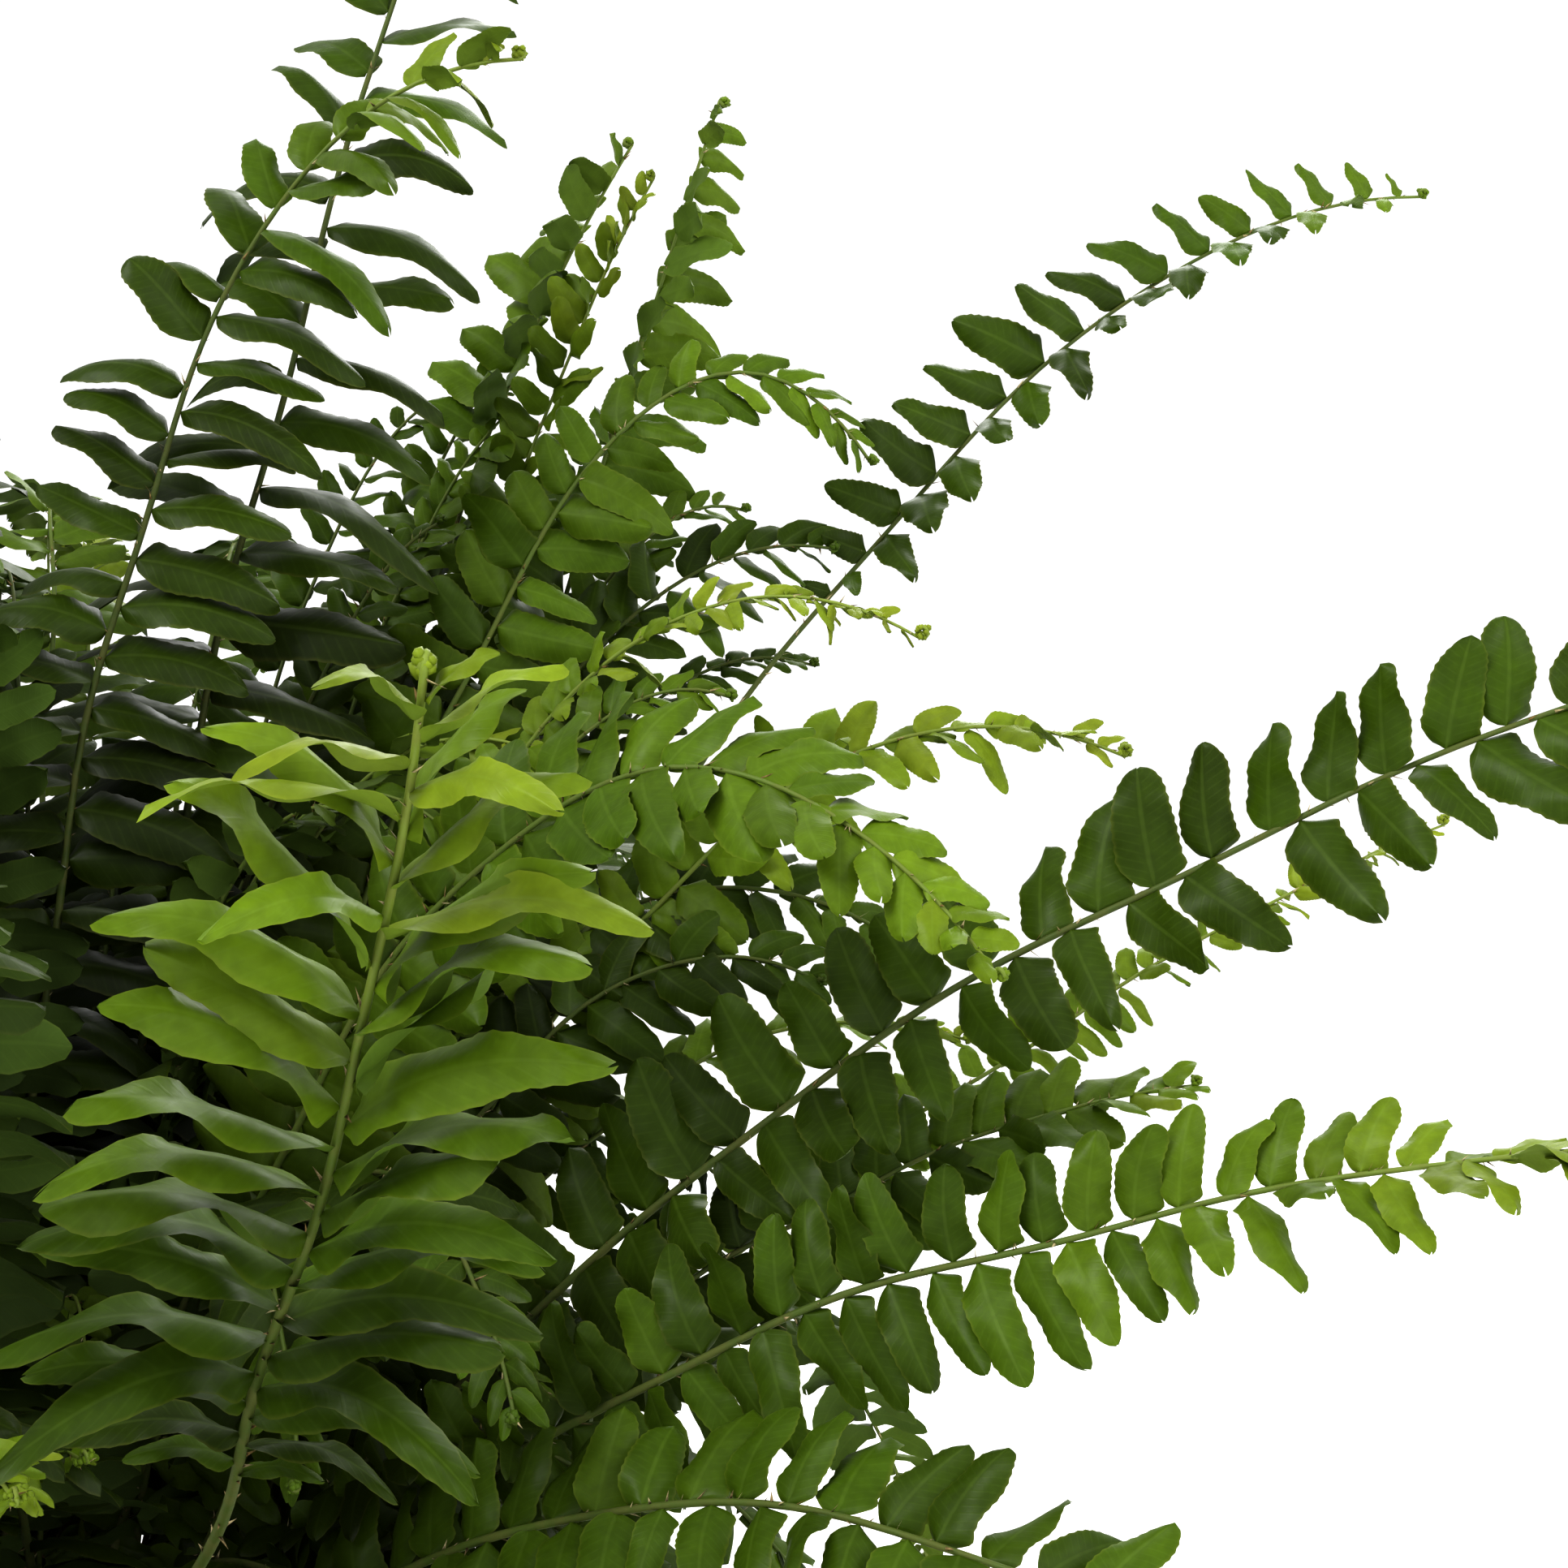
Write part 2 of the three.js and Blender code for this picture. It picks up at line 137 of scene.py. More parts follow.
# Smaller fronds placed one by one between those of the frame, in the same columns but the habit.
PLACED_INNER = (
    ("mid", (10, 24), (60, 50, 400), (101, 72, 452), 22, (-90, 20), dict(blind=25)),
    ("mature", (0, 10), (50, 28, 400), (90, 40, 423), 24, (-90, 30), {}),
    ("mid", (24, 10), (100, 12, 400), (160, 10, 380), 22, (-90, 45), {}),
    ("mature", (32, 24), (110, 40, 410), (179, 50, 389), 20, (-90, 45), {}),
    ("young", (-6, -42), (10, -100, 250), (55, -150, 246), 12, (-90, 60), {}),
    ("young", (-14, -40), (0, -120, 232), (30, -180, 214), 12, (-90, 60), {}),
    ("mid", (34, -30), (70, -60, 290), (128, -80, 240), 13, (-60, 60), dict(pitch=0.4)),
    ("mature", (42, -14), (120, -40, 290), (178, -60, 224), 24, (-60, 60), {}),
    ("mature", (33, -39), (90, -60, 270), (146, -90, 217), 22, (-60, 60), {}),
    ("mid", (46, 8), (120, 20, 330), (215, 30, 300), 18, (-90, 50), dict(lime=0.8)),
    ("mature", (36, -10), (110, -30, 352), (180, -44, 319), 21, (-90, 25),
     dict(taper=8, blind=14)),
    ("mid", (36, 16), (110, 30, 440), (162, 62, 428), 24, (-90, 25), dict(blind=20)),
    ("mature", (-4, 30), (40, 70, 420), (80, 80, 456), 24, (-90, 20), dict(blind=30)),
    ("mid", (14, 40), (60, 80, 430), (104, 90, 472), 24, (-90, 20), dict(blind=30)),
    ("mature", (26, 38), (90, 90, 410), (128, 110, 456), 24, (-90, 20), dict(blind=30)),
    ("mature", (30, 30), (96, 36, 428), (184, 34, 416), 23, (-90, 30),
     dict(taper=8, blind=34)),
    ("mid", (26, 26), (92, 62, 420), (139, 72, 512), 16, (-60, 20),
     dict(twist=70, lime=0.8, fold=40, taper=12, pitch=0.4)),
    ("young", (-4, -44), (20, -150, 268), (68, -236, 262), 14, (-90, 50),
     dict(lime=0.6, taper=6, pitch=0.36)),
    ("mature", (22, -42), (92, -150, 224), (152, -262, 96), 25, (-60, 70), dict(lime=0.5)),
    ("mature", (6, -47), (30, -170, 222), (58, -290, 112), 25, (-80, 70), dict(lime=0.5)),
)

# Rings of fronds: habit, age, count, the azimuths of the ring's two ends, the foot's radius, the
# tip's reach and height, bend, crest (the shoulder's height), the longest leaflet and tilt, how
# far the upper sides lean back towards the middle of the plant.
FROND_RINGS = (
    ("tall", "mature", 6, (126, 246), 16, 120, 530, 0.25, 500, 26, 28),
    ("arching", "mid", 9, (68, 262), 28, 235, 415, 0.5, 545, 27, 14),
    ("spreading", "mature", 10, (44, 288), 40, 365, 290, 0.5, 420, 30, 20),
    ("hanging", "mature", 8, (10, 300), 47, 300, 120, 0.62, 318, 27, 0),
)

# Rings of smaller fronds inside the plant, past the number that the frame holds, in the same
# columns but the habit.
INNER_RINGS = (
    ("mid", 7, (-30, 88), 22, 118, 340, 0.35, 410, 21, 28),
    ("mature", 8, (-50, 80), 34, 165, 250, 0.5, 350, 23, 20),
    ("mature", 9, (90, 290), 20, 120, 400, 0.4, 470, 23, 28),
    ("mature", 9, (95, 275), 36, 190, 250, 0.5, 360, 24, 20),
    ("mid", 12, (100, 284), 32, 275, 350, 0.5, 475, 25, 16),
    ("mature", 12, (92, 280), 42, 240, 185, 0.6, 340, 25, 4),
    ("mature", 8, (-85, 80), 44, 175, 150, 0.6, 270, 23, 8),
    ("young", 9, (0, 360), 14, 70, 250, 0.5, 300, 13, 28),
)

REACH_SPREAD = 0.12
HEIGHT_SPREAD = 0.1
CREST_SPREAD = 0.03
SWEEP_SPREAD = 22
TWIST_SPREAD = 40
MIDRIB_SAMPLES = 36
MIDRIB_CLEARANCE = 5
TURN_STEP = 1.5
TURN_TRIES = 60

# How each habit holds its leaflets: blind is how far each turns about its own length towards the
# frond's tip and sweep how far it leans towards the tip, both in degrees, and droop is how far its
# end sags, as a share of its length.
HABITS = {
    "tall": {"blind": 40, "droop": 0.4, "sweep": 10},
    "arching": {"blind": 20, "droop": 0.2, "sweep": 8},
    "spreading": {"blind": 12, "droop": 0.12, "sweep": 4},
    "hanging": {"blind": 4, "droop": 0.12, "sweep": 8},
    "inner": {"blind": 18, "droop": 0.16, "sweep": 10},
}
AGES = {"mature": 0.08, "mid": 0.34, "young": 0.56}
LIGHTEST_AGE = 0.95

LEAFLET_THICKNESS = 0.35
SMALLEST_PITCH = 1.5
# Painted shade: leaflets that lie deep in the plant's middle, within these reaches, have their tone
# lowered by up to SHADED_TONE, which darkens their green.
SHADE_RADIUS = 185
SHADE_EDGE = 110
SHADE_HEIGHT = 450
SHADE_TOP_EDGE = 150
SHADED_TONE = 5
LAST_LEAFLET = 0.99
TIP_LEAFLET = 0.18
LOST_LEAFLETS = 0.012

# How unevenly leaflets stand: angles in degrees, the others as shares.
LEAN_SPREAD = 7
FOLD_SPREAD = 9
BLIND_SPREAD = 13
LENGTH_SPREAD = 0.07
DROOP_SPREAD = 0.3
AGE_SPREAD = 0.05
YOUNG_UNRULINESS = 1.6

USUAL_LEAFLET = 28
STALK_RADIUS = 1.3
STALK_TAPER = 0.9
SCALE_LENGTHS = (0.9, 2.6)
FINE_SCALES = 150
PLAIN_SCALES = 90


def scatter(n):
    """A repeatable value between -1 and 1 for the nth draw of a series."""
    return 2 * ((n * GOLDEN_RATIO) % 1) - 1


def polar(azimuth, radius, height):
    angle = math.radians(azimuth)
    return np.array([radius * math.cos(angle), radius * math.sin(angle), height])


def direction(azimuth, elevation):
    level = math.cos(math.radians(elevation))
    return polar(azimuth, level, math.sin(math.radians(elevation)))


def crown_height_at(radius):
    dome = math.sqrt(max(0, 1 - (radius / CROWN_RADIUS) ** 2))
    return SOIL_TOP + 0.3 + CROWN_HEIGHT * dome


def quadratic(start, pull, end, count):
    t = np.linspace(0, 1, count + 1)[:, None]
    return (1 - t) ** 2 * start + 2 * t * (1 - t) * pull + t**2 * end


def frond_from(habit, age, foot, pull, tip, half, face, looks):
    start = np.array([*foot, crown_height_at(math.hypot(*foot)) + 2 * STALK_HALF_WIDTH])
    curve = (start, np.array(pull, float), np.array(tip, float))
    return {
        "habit": habit,
        "age": age,
        "curve": curve,
        "samples": quadratic(*curve, MIDRIB_SAMPLES),
        "half": half,
        "face": face,
        **PLAIN_LOOKS,
        **HABITS[habit],
        **looks,
    }


def placed_frond(habit, age, foot, shoulder, tip, half, face, looks):
    return frond_from(habit, age, foot, shoulder, tip, half, direction(*face), looks)


def ring_frond(ring, index, turn):
    """The nth frond of a ring, turned about the crown by turn degrees."""
    habit, age, count, (first, last), foot, reach, height, bend, crest, half, tilt = ring
    azimuth = first + (last - first) * (index + 0.5) / count + turn
    draw = index + crest
    reach = reach * (1 + REACH_SPREAD * scatter(draw))
    height = height * (1 + HEIGHT_SPREAD * scatter(2 * draw + 1))
    sweep = SWEEP_SPREAD * scatter(3 * draw + 2)
    shoulder = polar(azimuth, reach * bend, crest * (1 + CREST_SPREAD * scatter(5 * draw)))
    tip = polar(azimuth + sweep, reach, height)
    face = direction(azimuth + 180, 90 - tilt)
    looks = {"twist": TWIST_SPREAD * scatter(7 * draw), "lime": 0.45 + 0.45 * scatter(11 * draw)}
    return frond_from(habit, age, polar(azimuth, foot, 0)[:2], shoulder, tip, half, face, looks)


def clear_of(samples, others, clearance):
    gaps = (np.linalg.norm(samples[:, None] - other["samples"], axis=2) for other in others)
    return all(gap.min() > clearance for gap in gaps)


def clear_ring_frond(ring, index, grown, clearance):
    """The frond, turned about the crown a little more each try, until its midrib is clear."""
    for attempt in range(TURN_TRIES):
        turn = (-1 if attempt % 2 else 1) * math.ceil(attempt / 2) * TURN_STEP
        frond = ring_frond(ring, index, turn)
        if clear_of(frond["samples"], grown, clearance):
            return frond
    return None


def grow_fronds():
    """All fronds with their piece names. Those of the frame come first, under its node names."""
    fronds = [placed_frond(*row) for row in PLACED_FRONDS]
    for ring in FROND_RINGS:
        for index in range(ring[2]):
            fronds.append(clear_ring_frond(ring, index, fronds, MIDRIB_CLEARANCE))
    fronds += [placed_frond("inner", *row) for row in PLACED_INNER]
    for ring in INNER_RINGS:
        for index in range(ring[1]):
            frond = clear_ring_frond(("inner", *ring), index, fronds, MIDRIB_CLEARANCE / 2)
            if frond is not None:
                fronds.append(frond)
    tally = {}
    for frond in fronds:
        tally[frond["habit"]] = tally.get(frond["habit"], 0) + 1
        frond["name"] = f"{frond['habit']}_frond_{tally[frond['habit']]:02d}"
    return fronds


# ---- closed skins as arrays


class Skin:
    """Gathers closed shells as arrays and turns them into one mesh."""

    POINT_VALUES = ("age", "tone", "along", "across")

    def __init__(self):
        self.points = []
        self.values = {name: [] for name in self.POINT_VALUES}
        self.faces = []
        self.creases = []
        self.count = 0

    def add(self, points, faces, uv, material, under=None, creases=None, **values):
        """points (n, 3) in mm, faces (m, k), uv (m, k, 2) and one value or n values by name."""
        self.points.append(points)
        for name in self.POINT_VALUES:
            self.values[name].append(np.broadcast_to(values.get(name, 0.0), len(points)))
        below = np.zeros(len(faces), bool) if under is None else under
        self.faces.append((faces + self.count, uv, material, below))
        if creases is not None:
            self.creases.append(creases + self.count)
        self.count += len(points)

    def to_object(self, name, materials):
        """One smooth mesh object of all shells, with their uv map and values."""
        faces, uv, slots, below = zip(*self.faces)
        sizes = [len(part) for part in faces]
        points = np.concatenate(self.points) * MM
        loops = np.concatenate([part.ravel() for part in faces])
        sides = np.repeat([part.shape[1] for part in faces], sizes)
        mesh = bpy.data.meshes.new(name)
        mesh.vertices.add(len(points))
        mesh.vertices.foreach_set("co", points.astype(np.float32).ravel())
        mesh.loops.add(len(loops))
        mesh.loops.foreach_set("vertex_index", loops.astype(np.int32))
        mesh.polygons.add(len(sides))
        mesh.polygons.foreach_set("loop_start", (np.cumsum(sides) - sides).astype(np.int32))
        mesh.polygons.foreach_set("material_index", np.repeat(slots, sizes).astype(np.int32))
        mesh.update(calc_edges=True)
        mesh.shade_smooth()
        layer = mesh.uv_layers.new(name="OFBake")
        places = np.concatenate([part.reshape(-1, 2) for part in uv])
        layer.uv.foreach_set("vector", places.astype(np.float32).ravel())
        for value_name, chunks in self.values.items():
            attribute = mesh.attributes.new(value_name, "FLOAT", "POINT")
            attribute.data.foreach_set("value", np.concatenate(chunks).astype(np.float32))
        under = mesh.attributes.new("under", "FLOAT", "FACE")
        under.data.foreach_set("value", np.concatenate(below).astype(np.float32))
        if self.creases:
            self.sharpen(mesh, np.concatenate(self.creases))
        for material in materials:
            mesh.materials.append(material)
        thing = bpy.data.objects.new(name, mesh)
        bpy.context.scene.collection.objects.link(thing)
        return thing

    @staticmethod
    def sharpen(mesh, pairs):
        """Marks the edges between these pairs of points sharp, so a thin shell shades cleanly."""
        ends = np.zeros(len(mesh.edges) * 2, np.int32)
        mesh.edges.foreach_get("vertices", ends)
        ends = np.sort(ends.reshape(-1, 2).astype(np.int64), axis=1)
        pairs = np.sort(pairs.astype(np.int64), axis=1)
        span = len(mesh.vertices)
        sharp = np.isin(ends[:, 0] * span + ends[:, 1], pairs[:, 0] * span + pairs[:, 1])
        flags = mesh.attributes.new("sharp_edge", "BOOLEAN", "EDGE")
        flags.data.foreach_set("value", sharp)


def make_piece(thing, slot, *replaced):
    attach(thing, BODY)
    if replaced:
        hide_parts(*replaced)
    return thing


# ---- one leaflet's pattern


def corners(grid):
    """What a grid holds at the four corners of each of its cells, in order round the cell."""
    cells = np.stack([grid[:-1, :-1], grid[1:, :-1], grid[1:, 1:], grid[:-1, 1:]], 2)
    return cells.reshape(-1, 4, *grid.shape[2:])


def flipped(faces):
    """The faces as seen from the other side, each from the same first corner."""
    return np.roll(faces[:, ::-1], 1, axis=1)


def leaflet_pattern(rows, columns):
    """A thin closed leaflet as a grid: how far along and across each point lies, which points are
    on the lower face, the faces of both sides, and the edges round its outline. A lower face starts
    at the same corner as the one above it, so both split along the same diagonal and don't cross. A
    face whose diagonal would join two points of the outline starts one corner on."""
    even = np.linspace(0, 1, rows + 1)
    along = 0.6 * even + 0.4 * (0.5 - 0.5 * np.cos(np.pi * even))
    across = np.array(columns)
    wide = len(across)
    top = np.arange((rows + 1) * wide).reshape(rows + 1, wide)
    bottom = top.copy()
    inner = (rows - 1) * (wide - 2)
    bottom[1:-1, 1:-1] = top.size + np.arange(inner).reshape(rows - 1, wide - 2)
    grid_along, grid_across = np.meshgrid(along, across, indexing="ij")
    grid_row = np.repeat(np.arange(rows + 1)[:, None], wide, axis=1)
    outline = np.concatenate([top[0], top[1:, -1], top[-1, :-1][::-1], top[:-1, 0][::-1]])
    inside = (slice(1, -1), slice(1, -1))
    upper, lower = corners(top), corners(bottom)
    on_rim = np.isin(upper[:, (0, 2)], outline).all(axis=1)
    upper[on_rim] = np.roll(upper[on_rim], 1, axis=1)
    lower[on_rim] = np.roll(lower[on_rim], 1, axis=1)
    return {
        "along": np.concatenate([grid_along.ravel(), grid_along[inside].ravel()]),
        "across": np.concatenate([grid_across.ravel(), grid_across[inside].ravel()]),
        "row": np.concatenate([grid_row.ravel(), grid_row[inside].ravel()]),
        "lower": np.concatenate([np.zeros(top.size), np.ones(inner)]),
        "top": upper,
        "bottom": flipped(lower),
        "outline": np.stack([outline[:-1], outline[1:]], -1),
        "last_row": rows,
    }


FINE_LEAFLET = leaflet_pattern(26, (-1, -0.62, -0.16, 0, 0.16, 0.62, 1))
PLAIN_LEAFLET = leaflet_pattern(12, (-1, -0.55, 0, 0.55, 1))


def smooth_step(x):
    x = np.clip(x, 0, 1)
    return x * x * (3 - 2 * x)


# A leaflet's shape. A place along it runs from 0 at the midrib to 1 at its end. Breadths and
# heights are shares of half its breadth, but SICKLE and CURL are shares of its length.
SMALL_LEAFLET = 8
SMALL_BREADTH = 0.25
STALK_BREADTH = 0.14
FULL_BREADTH_FROM = 0.2
ROUNDING = 0.55
EAR_HEIGHT = 0.34
EAR_PLACE = 0.1
EAR_SPAN = 0.06
TOOTH_DEPTH = 0.024
TEETH_MIDDLE = 0.53
TEETH_REACH = 0.38
SICKLE = 0.13
RIPPLES = 1.6
CUP = 0.26
GROOVE_DEPTH = 0.25
GROOVE_BREADTH = 0.1
QUILT_HEIGHT = 0.035
QUILTS = 9
CURL = 0.1


def leaflet_shape(pattern, length, frond, random):
    """Local points of n leaflets, (n, m, 3): x outwards, y towards the frond's tip, z up."""
    u = pattern["along"][None]
    v = pattern["across"][None]
    row = pattern["row"][None]
    size = length[:, None]
    count = len(length)

    def draw(spread):
        return random.normal(0, spread, (count, 1))

    small = 1 + SMALL_BREADTH * smooth_step((SMALL_LEAFLET - size) / SMALL_LEAFLET)
    breadth = size * frond["breadth"] * (1 + draw(0.06)) * small
    rise = STALK_BREADTH + (1 - STALK_BREADTH) * np.clip(u / FULL_BREADTH_FROM, 0, 1) ** ROUNDING
    blunt = (1 - u ** frond["blunt"]) ** ROUNDING
    width = breadth * np.maximum(rise * blunt * (1.06 - 0.14 * u), 0.05)
    ear = EAR_HEIGHT * breadth * np.exp(-(((u - EAR_PLACE) / EAR_SPAN) ** 2)) * (v > 0) * v
    edge = (np.abs(v) > 0.99) & (row > 0) & (row < pattern["last_row"])
    toothed = edge & (np.abs(u - TEETH_MIDDLE) < TEETH_REACH)
    tooth = TOOTH_DEPTH * breadth * np.where(row % 2, 1, -1) * toothed * np.sign(v)
    sickle = (SICKLE + draw(0.05)) * size
    across = v * width + ear + tooth + sickle * u**2
    waves = RIPPLES * u + random.uniform(0, 1, (count, 1))
    ripple = frond["wave"] * breadth * np.sin(2 * np.pi * waves) * v**2
    cup = -(CUP + draw(0.12)) * breadth * v**2
    groove = -GROOVE_DEPTH * np.exp(-((v / GROOVE_BREADTH) ** 2)) * smooth_step(u / 0.1) * (1 - u)
    quilt = QUILT_HEIGHT * np.sin(2 * np.pi * (QUILTS * u - 1.5 * np.abs(v))) * (1 - v**2)
    curl = -(CURL + draw(0.09)) * size * u**2.4
    lift = ripple + cup + groove + quilt - LEAFLET_THICKNESS * pattern["lower"][None]
    roll = (draw(0.32) + frond["leaf_twist"]) * u
    turned_across = across * np.cos(roll) - lift * np.sin(roll)
    turned_lift = across * np.sin(roll) + lift * np.cos(roll) + curl
    outwards = size * u * (1 - 0.03 * u)
    return np.stack([np.broadcast_to(outwards, across.shape), turned_across, turned_lift], -1)


# ---- a frond


def unit(vectors):
    return vectors / np.linalg.norm(vectors, axis=-1, keepdims=True)


def turned(first, second, angle):
    """first turned towards second by angle, in radians."""
    return first * np.cos(angle) + second * np.sin(angle)


def midrib_path(frond, count=72):
    """Evenly spaced places along the midrib: points, tangents, sides, normals and shares. It
    wanders and twists a little, as no midrib is a perfect curve."""
    dense = quadratic(*frond["curve"], 240)
    travelled = np.concatenate([[0], np.cumsum(np.linalg.norm(np.diff(dense, axis=0), axis=1))])
    share = np.linspace(0, 1, count)
    points = np.stack([np.interp(share * travelled[-1], travelled, dense[:, k]) for k in range(3)], -1)
    tangent = unit(np.gradient(points, axis=0))
    side = unit(np.cross(tangent, frond["face"]))
    normal = np.cross(side, tangent)
    twist = np.radians(frond["twist"]) * tip_share(frond, share)
    twist = twist + 0.12 * np.sin(7 * share + frond["half"])
    side, normal = turned(side, normal, twist[:, None]), turned(normal, -side, twist[:, None])
    wander = np.sin(31 * share) * 0.5 + np.sin(19 * share + 1) * 0.7
    points = points + side * (wander * smooth_step(share / 0.2))[:, None]
    return {
        "points": points,
        "tangent": tangent,
        "side": side,
        "normal": normal,
        "share": share,
        "length": travelled[-1],
    }


def frame_at(path, shares):
    """Points, tangents, sides and normals at places along a midrib."""

    def between(key):
        rows = [np.interp(shares, path["share"], path[key][:, k]) for k in range(3)]
        return np.stack(rows, -1)

    return between("points"), *(unit(between(key)) for key in ("tangent", "side", "normal"))


def blade_share(frond, share):
    return np.clip((share - frond["bare"]) / (1 - frond["bare"]), 0, 1)


def tip_share(frond, share):
    """How far a place on the midrib is into the light, twisted part of the tip, from 0 to 1."""
    first = frond["lime_from"]
    return smooth_step((blade_share(frond, share) - first) / (1.1 - first))


def taper(frond, share):
    full = (1 - blade_share(frond, share) ** frond["taper"]) ** 0.75
    return TIP_LEAFLET + (1 - TIP_LEAFLET) * full


def outline(frond, share):
    """A leaflet's length as a share of the longest one: a quick rise, then a long taper."""
    return np.minimum(1, 0.35 + 4.5 * blade_share(frond, share)) * taper(frond, share)


def leaflet_places(frond, path, offset):
    """Shares of the midrib's length where one row's leaflets stand."""
    places = []
    share = frond["bare"] + offset * frond["pitch"] * frond["half"] / path["length"]
    while share < LAST_LEAFLET:
        places.append(share)
        pitch = frond["pitch"] * frond["half"] * (0.3 + 0.7 * taper(frond, share))
        share += max(SMALLEST_PITCH, pitch) / path["length"]
    return np.array(places)


def age_along(frond, share):
    start = frond.get("base_age", AGES[frond["age"]])
    return start + (LIGHTEST_AGE - start) * frond["lime"] * tip_share(frond, share)


def painted_shade_depth(points):
    """How deep in the plant's middle points lie, 0 to 1. Painted shade darkens leaflets there."""
    radius = np.linalg.norm(points[:, :2], axis=1)
    inwards = smooth_step((SHADE_RADIUS - radius) / SHADE_EDGE)
    return inwards * smooth_step((SHADE_HEIGHT - points[:, 2]) / SHADE_TOP_EDGE)


def add_leaflet_row(skin, frond, path, pattern, random, way, cells):
    """One row of leaflets. way is 1 for the right side and -1 for the left."""
    share = leaflet_places(frond, path, 0.5 if way > 0 else 0)
    share = share[random.uniform(0, 1, len(share)) > LOST_LEAFLETS]
    count = len(share)
    place, tangent, side, normal = frame_at(path, share)
    longest = frond["half"] * frond["size"]
    length = longest * outline(frond, share) * (1 + random.normal(0, LENGTH_SPREAD, count))
    unruly = frond["order"] + YOUNG_UNRULINESS * smooth_step((age_along(frond, share) - 0.4) / 0.6)

    def angle(mean, spread):
        return np.radians(mean + spread * unruly * random.normal(0, 1, count))[:, None]

    lean = np.radians(frond["tip_sweep"]) * smooth_step((share - 0.5) / 0.5)
    sweep = angle(frond["sweep"] + frond["skew"] * way, LEAN_SPREAD) + lean[:, None]
    side = side * way
    outwards, forwards = turned(side, tangent, sweep), turned(tangent, -side, sweep)
    raised = angle(frond["fold"], FOLD_SPREAD)
    outwards, normal = turned(outwards, normal, raised), turned(normal, -outwards, raised)
    blind = angle(frond["blind"], BLIND_SPREAD)
    forwards, normal = turned(forwards, -normal, blind), turned(normal, forwards, blind)
    local = leaflet_shape(pattern, length, frond, random)
    base = place + outwards * 0.5
    points = (
        base[:, None]
        + local[..., :1] * outwards[:, None]
        + local[..., 1:2] * forwards[:, None]
        + local[..., 2:] * normal[:, None]
    )
    sag = frond["droop"] * (1 + random.normal(0, DROOP_SPREAD, count))
    fall = sag[:, None] * length[:, None] * pattern["along"][None] ** 2
    points = points - fall[..., None] * UP
    size = len(pattern["along"])
    shift = size * np.arange(count)[:, None, None]
    top, bottom = pattern["top"], pattern["bottom"]
    if way < 0:
        top, bottom = flipped(top), flipped(bottom)
    age = age_along(frond, share) + random.normal(0, AGE_SPREAD, count)
    # tone is a random tone for each leaflet, less painted shade for leaflets deep in the plant's
    # middle.
    tone = random.normal(0, 1, count) - SHADED_TONE * painted_shade_depth(base)
    faces = np.concatenate([top[None] + shift, bottom[None] + shift]).reshape(-1, 4)
    under = np.repeat([False, True], count * len(top))
    uv = np.concatenate([cells(pattern, top, count), cells(pattern, bottom, count)]).reshape(-1, 4, 2)
    edges = (pattern["outline"][None] + shift).reshape(-1, 2)
    skin.add(points.reshape(-1, 3), faces, uv, 0, under=under, creases=edges,
             age=np.repeat(age, size), tone=np.repeat(tone, size),
             along=np.tile(pattern["along"], count), across=np.tile(pattern["across"], count))


class Atlas:
    """Hands out equal cells of the texture square, row by row, above a strip for the midrib."""

    STRIP = 0.06
    MARGIN = 0.05
    COLUMNS_TO_ROWS = 0.42

    def __init__(self, total):
        self.columns = math.ceil(math.sqrt(total * self.COLUMNS_TO_ROWS))
        self.rows = math.ceil(total / self.columns)
        self.used = 0

    def __call__(self, pattern, faces, count):
        cell = self.used + np.arange(count)
        self.used += count
        low = np.stack([cell % self.columns, cell // self.columns], -1).astype(float)
        u = self.MARGIN + (1 - 2 * self.MARGIN) * pattern["along"][faces]
        v = self.MARGIN + (1 - 2 * self.MARGIN) * (pattern["across"][faces] / 2 + 0.5)
        place = low[:, None, None] + np.stack([u, v], -1)[None]
        place[..., 0] /= self.columns
        place[..., 1] = self.STRIP + (1 - self.STRIP) * place[..., 1] / self.rows
        return place


TUBE_ENDS_UV = (0.002, 0.998)
TUBE_TOP_UV = 0.055


def add_tube(skin, points, side, normal, radius, material, sides=8, **values):
    """A closed round tube along points, flat at both ends."""
    count = len(points)
    turn = np.linspace(0, 2 * np.pi, sides, endpoint=False)
    ring = turned(side[:, None], normal[:, None], turn[:, None])
    body = points[:, None] + ring * radius[:, None, None]
    index = np.arange(count * sides).reshape(count, sides)
    quads = corners(np.column_stack([index, index[:, 0]]))
    at_u = np.linspace(TUBE_ENDS_UV[0], TUBE_ENDS_UV[1], count)
    at_v = TUBE_TOP_UV * np.arange(sides + 1) / sides
    uv = corners(np.stack(np.meshgrid(at_u, at_v, indexing="ij"), -1))
    spread = {key: np.repeat(value, sides) for key, value in values.items()}
    caps = np.concatenate([index[0], index[-1][::-1]]).reshape(2, sides)
    skin.add(body.reshape(-1, 3), quads, uv, material, **spread)
    ends = np.zeros((2, sides, 2))
    ends[1, :, 0] = TUBE_ENDS_UV[1]
    skin.faces.append((caps + skin.count - len(body) * sides, ends, material, np.zeros(2, bool)))


def coil_at_tip(path, radius, turns=1.25, count=16):
    """Points of the small roll that a frond's tip ends in, and their frames."""
    tip, tangent = path["points"][-1], path["tangent"][-1]
    side, normal = path["side"][-1], path["normal"][-1]
    centre = tip + normal * radius
    angle = np.linspace(0, 2 * np.pi * turns, count)[1:, None]
    reach = radius * (1 - 0.62 * angle / angle[-1])
    points = centre + reach * (tangent * np.sin(angle) - normal * np.cos(angle))
    inward = unit(centre - points)
    return points, np.broadcast_to(side, points.shape), inward


